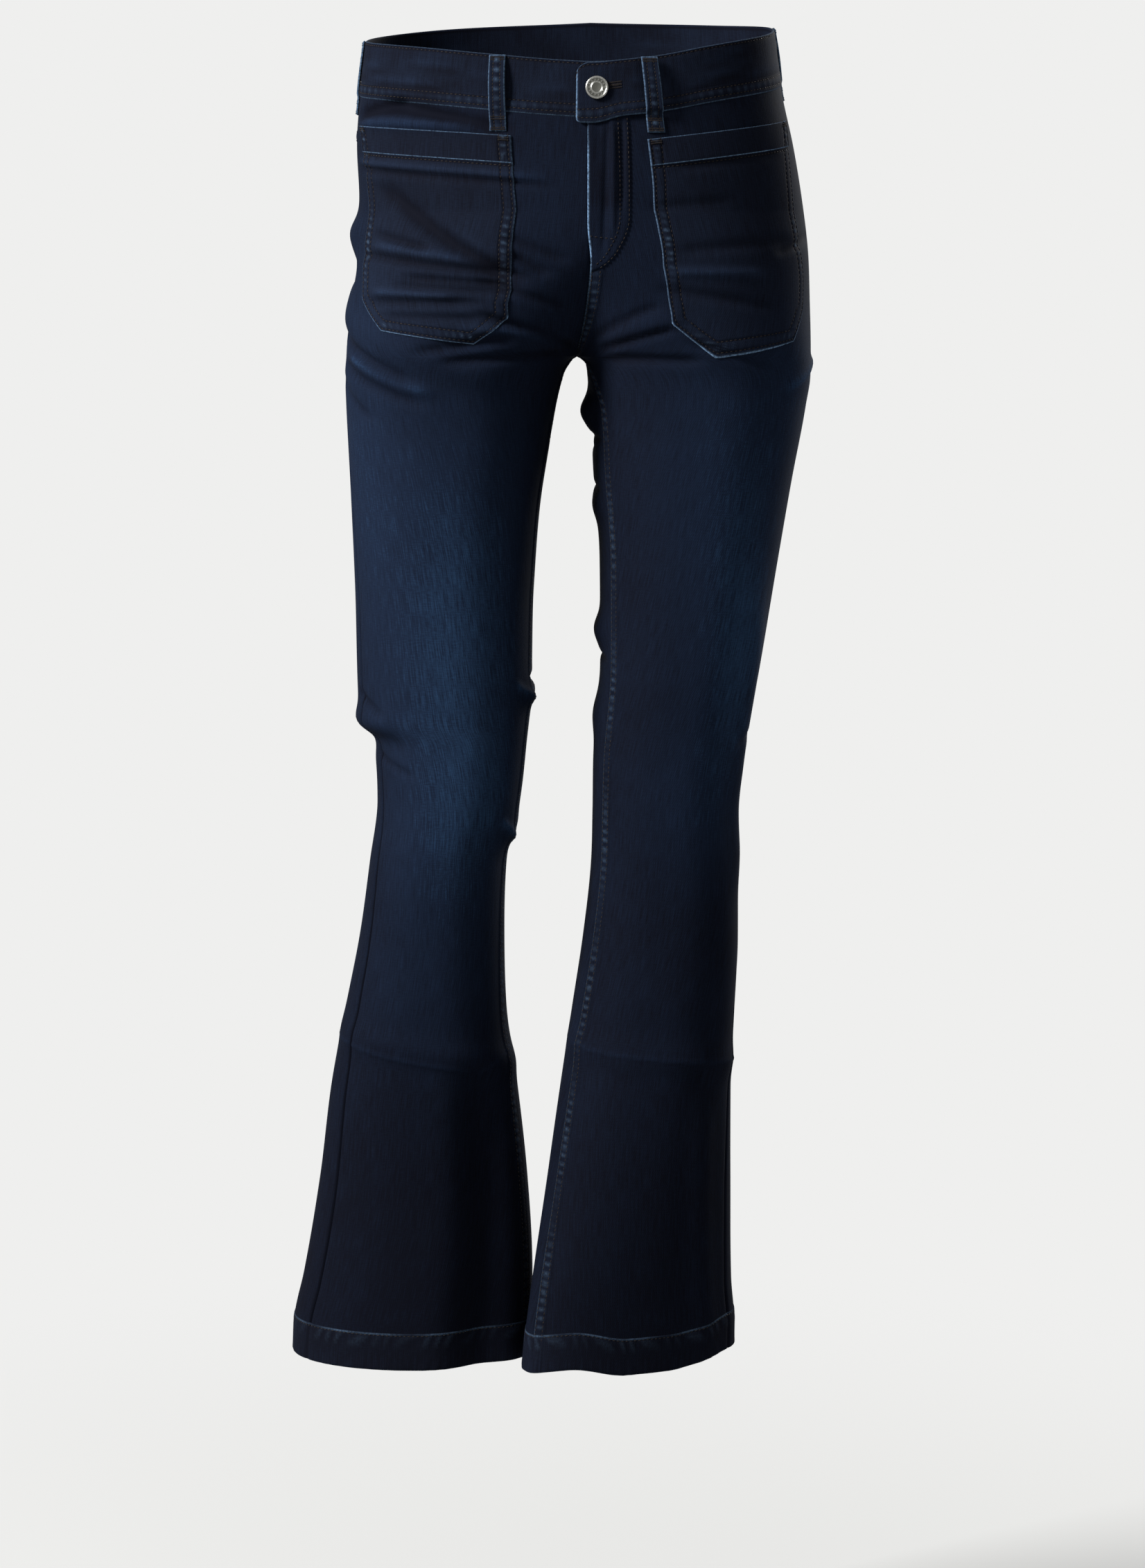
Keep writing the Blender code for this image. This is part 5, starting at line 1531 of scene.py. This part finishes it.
def metal(name, color, roughness):
    """Nickel plate, satin, a little scratched and darker where it is rubbed less."""
    mat, noise, shader = flecked(name, color, "#4e4e4b", 900.0, 3.0, {"Metallic": 1.0})
    shade = add(mat.node_tree, "ShaderNodeMapRange", noise,
                named={3: roughness - 0.08, 4: roughness + 0.12})
    mat.node_tree.links.new(shade, shader["Roughness"])
    return mat


NICKEL = metal("nickel-plated brass", "#a9a9a4", 0.28)
TARNISH = metal("nickel-plated brass, tarnished", "#55554f", 0.4)


def round_button(k, count, x, y, height):
    """The point (x, y) turned to the k-th of count places round the button."""
    c, s = math.cos(2 * math.pi * k / count), math.sin(2 * math.pi * k / count)
    return x * c - y * s, x * s + y * c, height


def make_button():
    """The button, standing on the upper end of the waistband."""
    z, g = np.array([BUTTON_HEIGHT]), np.array([BUTTON_G])
    seat = Vector(cloth("left", z, g, ON_LAP + 0.3 * MM)[0])
    turn = Vector(read("left", z, g, "out")[0]).to_track_quat("Z", "Y").to_matrix()
    points = [round_button(k, BUTTON_SIDES, radius, 0, height)
              for radius, height in BUTTON_PROFILE for k in range(BUTTON_SIDES)]
    faces = []
    for r in range(len(BUTTON_PROFILE) - 1):
        for k in range(BUTTON_SIDES):
            a, b = r * BUTTON_SIDES + k, r * BUTTON_SIDES + (k + 1) % BUTTON_SIDES
            faces.append((a, b, b + BUTTON_SIDES, a + BUTTON_SIDES))
    faces.append(tuple(range(BUTTON_SIDES))[::-1])
    faces.append(tuple(range(len(points) - BUTTON_SIDES, len(points))))
    for k in range(MARKS):
        base = len(points)
        points += [round_button(k, MARKS, MARK_RADIUS + u, v, height) for height in (2.05, 2.5)
                   for u, v in ((-0.75, -0.3), (0.75, -0.3), (0.75, 0.3), (-0.75, 0.3))]
        faces += [(base + 3, base + 2, base + 1, base), (base + 4, base + 5, base + 6, base + 7)]
        faces += [(base + i, base + (i + 1) % 4, base + 4 + (i + 1) % 4, base + 4 + i)
                  for i in range(4)]
    mesh = bpy.data.meshes.new("button_piece")
    mesh.from_pydata([turn @ Vector(p) * MM + seat for p in points], [], faces)
    mesh.shade_smooth()
    mesh.set_sharp_from_angle(angle=math.radians(35))
    mesh.materials.append(NICKEL)
    mesh.materials.append(TARNISH)
    for step in RING_STEPS:
        for k in range(step * BUTTON_SIDES, (step + 1) * BUTTON_SIDES):
            mesh.polygons[k].material_index = 1
    obj = add_object("button_piece", mesh)
    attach(obj, "root")
    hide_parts("button")
    return obj


told(make_button())

# %% [markdown]
# ## Studio
#
# The floor is plain and pale, and it brightens into the pale sky with distance, as a
# photographer's paper sweep does. The light is soft: a wide lamp high at the left of the
# camera models the folds, and the sky fills the shadows. The camera stands where the
# photograph's did, a little above the hips and looking slightly down.

# %% Floor, light and camera
FLOOR_LEVEL = -1.36
SKY = "#efefee"
SWEEP_START, SWEEP_END = 0.35, 1.5  # metres from the middle of the floor
FLOOR_SIZE = 40.0


def make_floor():
    """A wide matt floor well below the hems, which turns into the sky's colour far off."""
    mesh = bpy.data.meshes.new("studio_floor")
    mesh.from_pydata([(x * FLOOR_SIZE, y * FLOOR_SIZE, FLOOR_LEVEL)
                      for x, y in ((-1, -1), (1, -1), (1, 1), (-1, 1))], [], [(0, 1, 2, 3)])
    mat, tree, _ = new_material("matt studio paper", {
        "Base Color": linear("#80807f"), "Roughness": 0.9, "Specular IOR Level": 0.1})
    place = add(tree, "ShaderNodeTexCoord", out="Object")
    flat = add(tree, "ShaderNodeVectorMath", place, (1.0, 1.0, 0.0), operation="MULTIPLY")
    away = add(tree, "ShaderNodeVectorMath", flat, out="Value", operation="LENGTH")
    share = add(tree, "ShaderNodeMapRange", away, SWEEP_START, SWEEP_END,
                interpolation_type="SMOOTHSTEP")
    glow = add(tree, "ShaderNodeEmission", linear(SKY), 1.0)
    matt = tree.nodes["Principled BSDF"].outputs[0]
    mixed = add(tree, "ShaderNodeMixShader", share, matt, glow)
    tree.links.new(mixed, tree.nodes["Material Output"].inputs["Surface"])
    mesh.materials.append(mat)
    add_object("studio_floor", mesh)


def stand(name, data, place, target):
    """A lamp or a camera at a place, turned to a target."""
    obj = add_object(name, data)
    obj.location = place
    obj.rotation_euler = (Vector(target) - Vector(place)).to_track_quat("-Z", "Y").to_euler()
    return obj


make_floor()
for name, place, size, power in (("key", (-3.7, -2.0, 2.4), 1.3, 1000.0),
                                 ("rear", (2.6, 3.4, 1.5), 1.6, 400.0)):
    lamp = bpy.data.lights.new(name, "AREA")
    lamp.shape = "SQUARE"
    lamp.size = size
    lamp.energy = power
    stand(name, lamp, place, (0.0, 0.0, -0.5))
lens = bpy.data.cameras.new("camera")
lens.lens = 93.4
lens.sensor_width = 36.0
bpy.context.scene.camera = stand("camera", lens, (-0.0055, -3.2, -0.15), (-0.0055, 0.0, -0.58))
world = bpy.data.worlds.new("pale studio")
world.use_nodes = True
world.node_tree.nodes["Background"].inputs[0].default_value = linear(SKY)
world.node_tree.nodes["Background"].inputs[1].default_value = 1.0
bpy.context.scene.world = world
bpy.context.scene.view_settings.view_transform = "Standard"
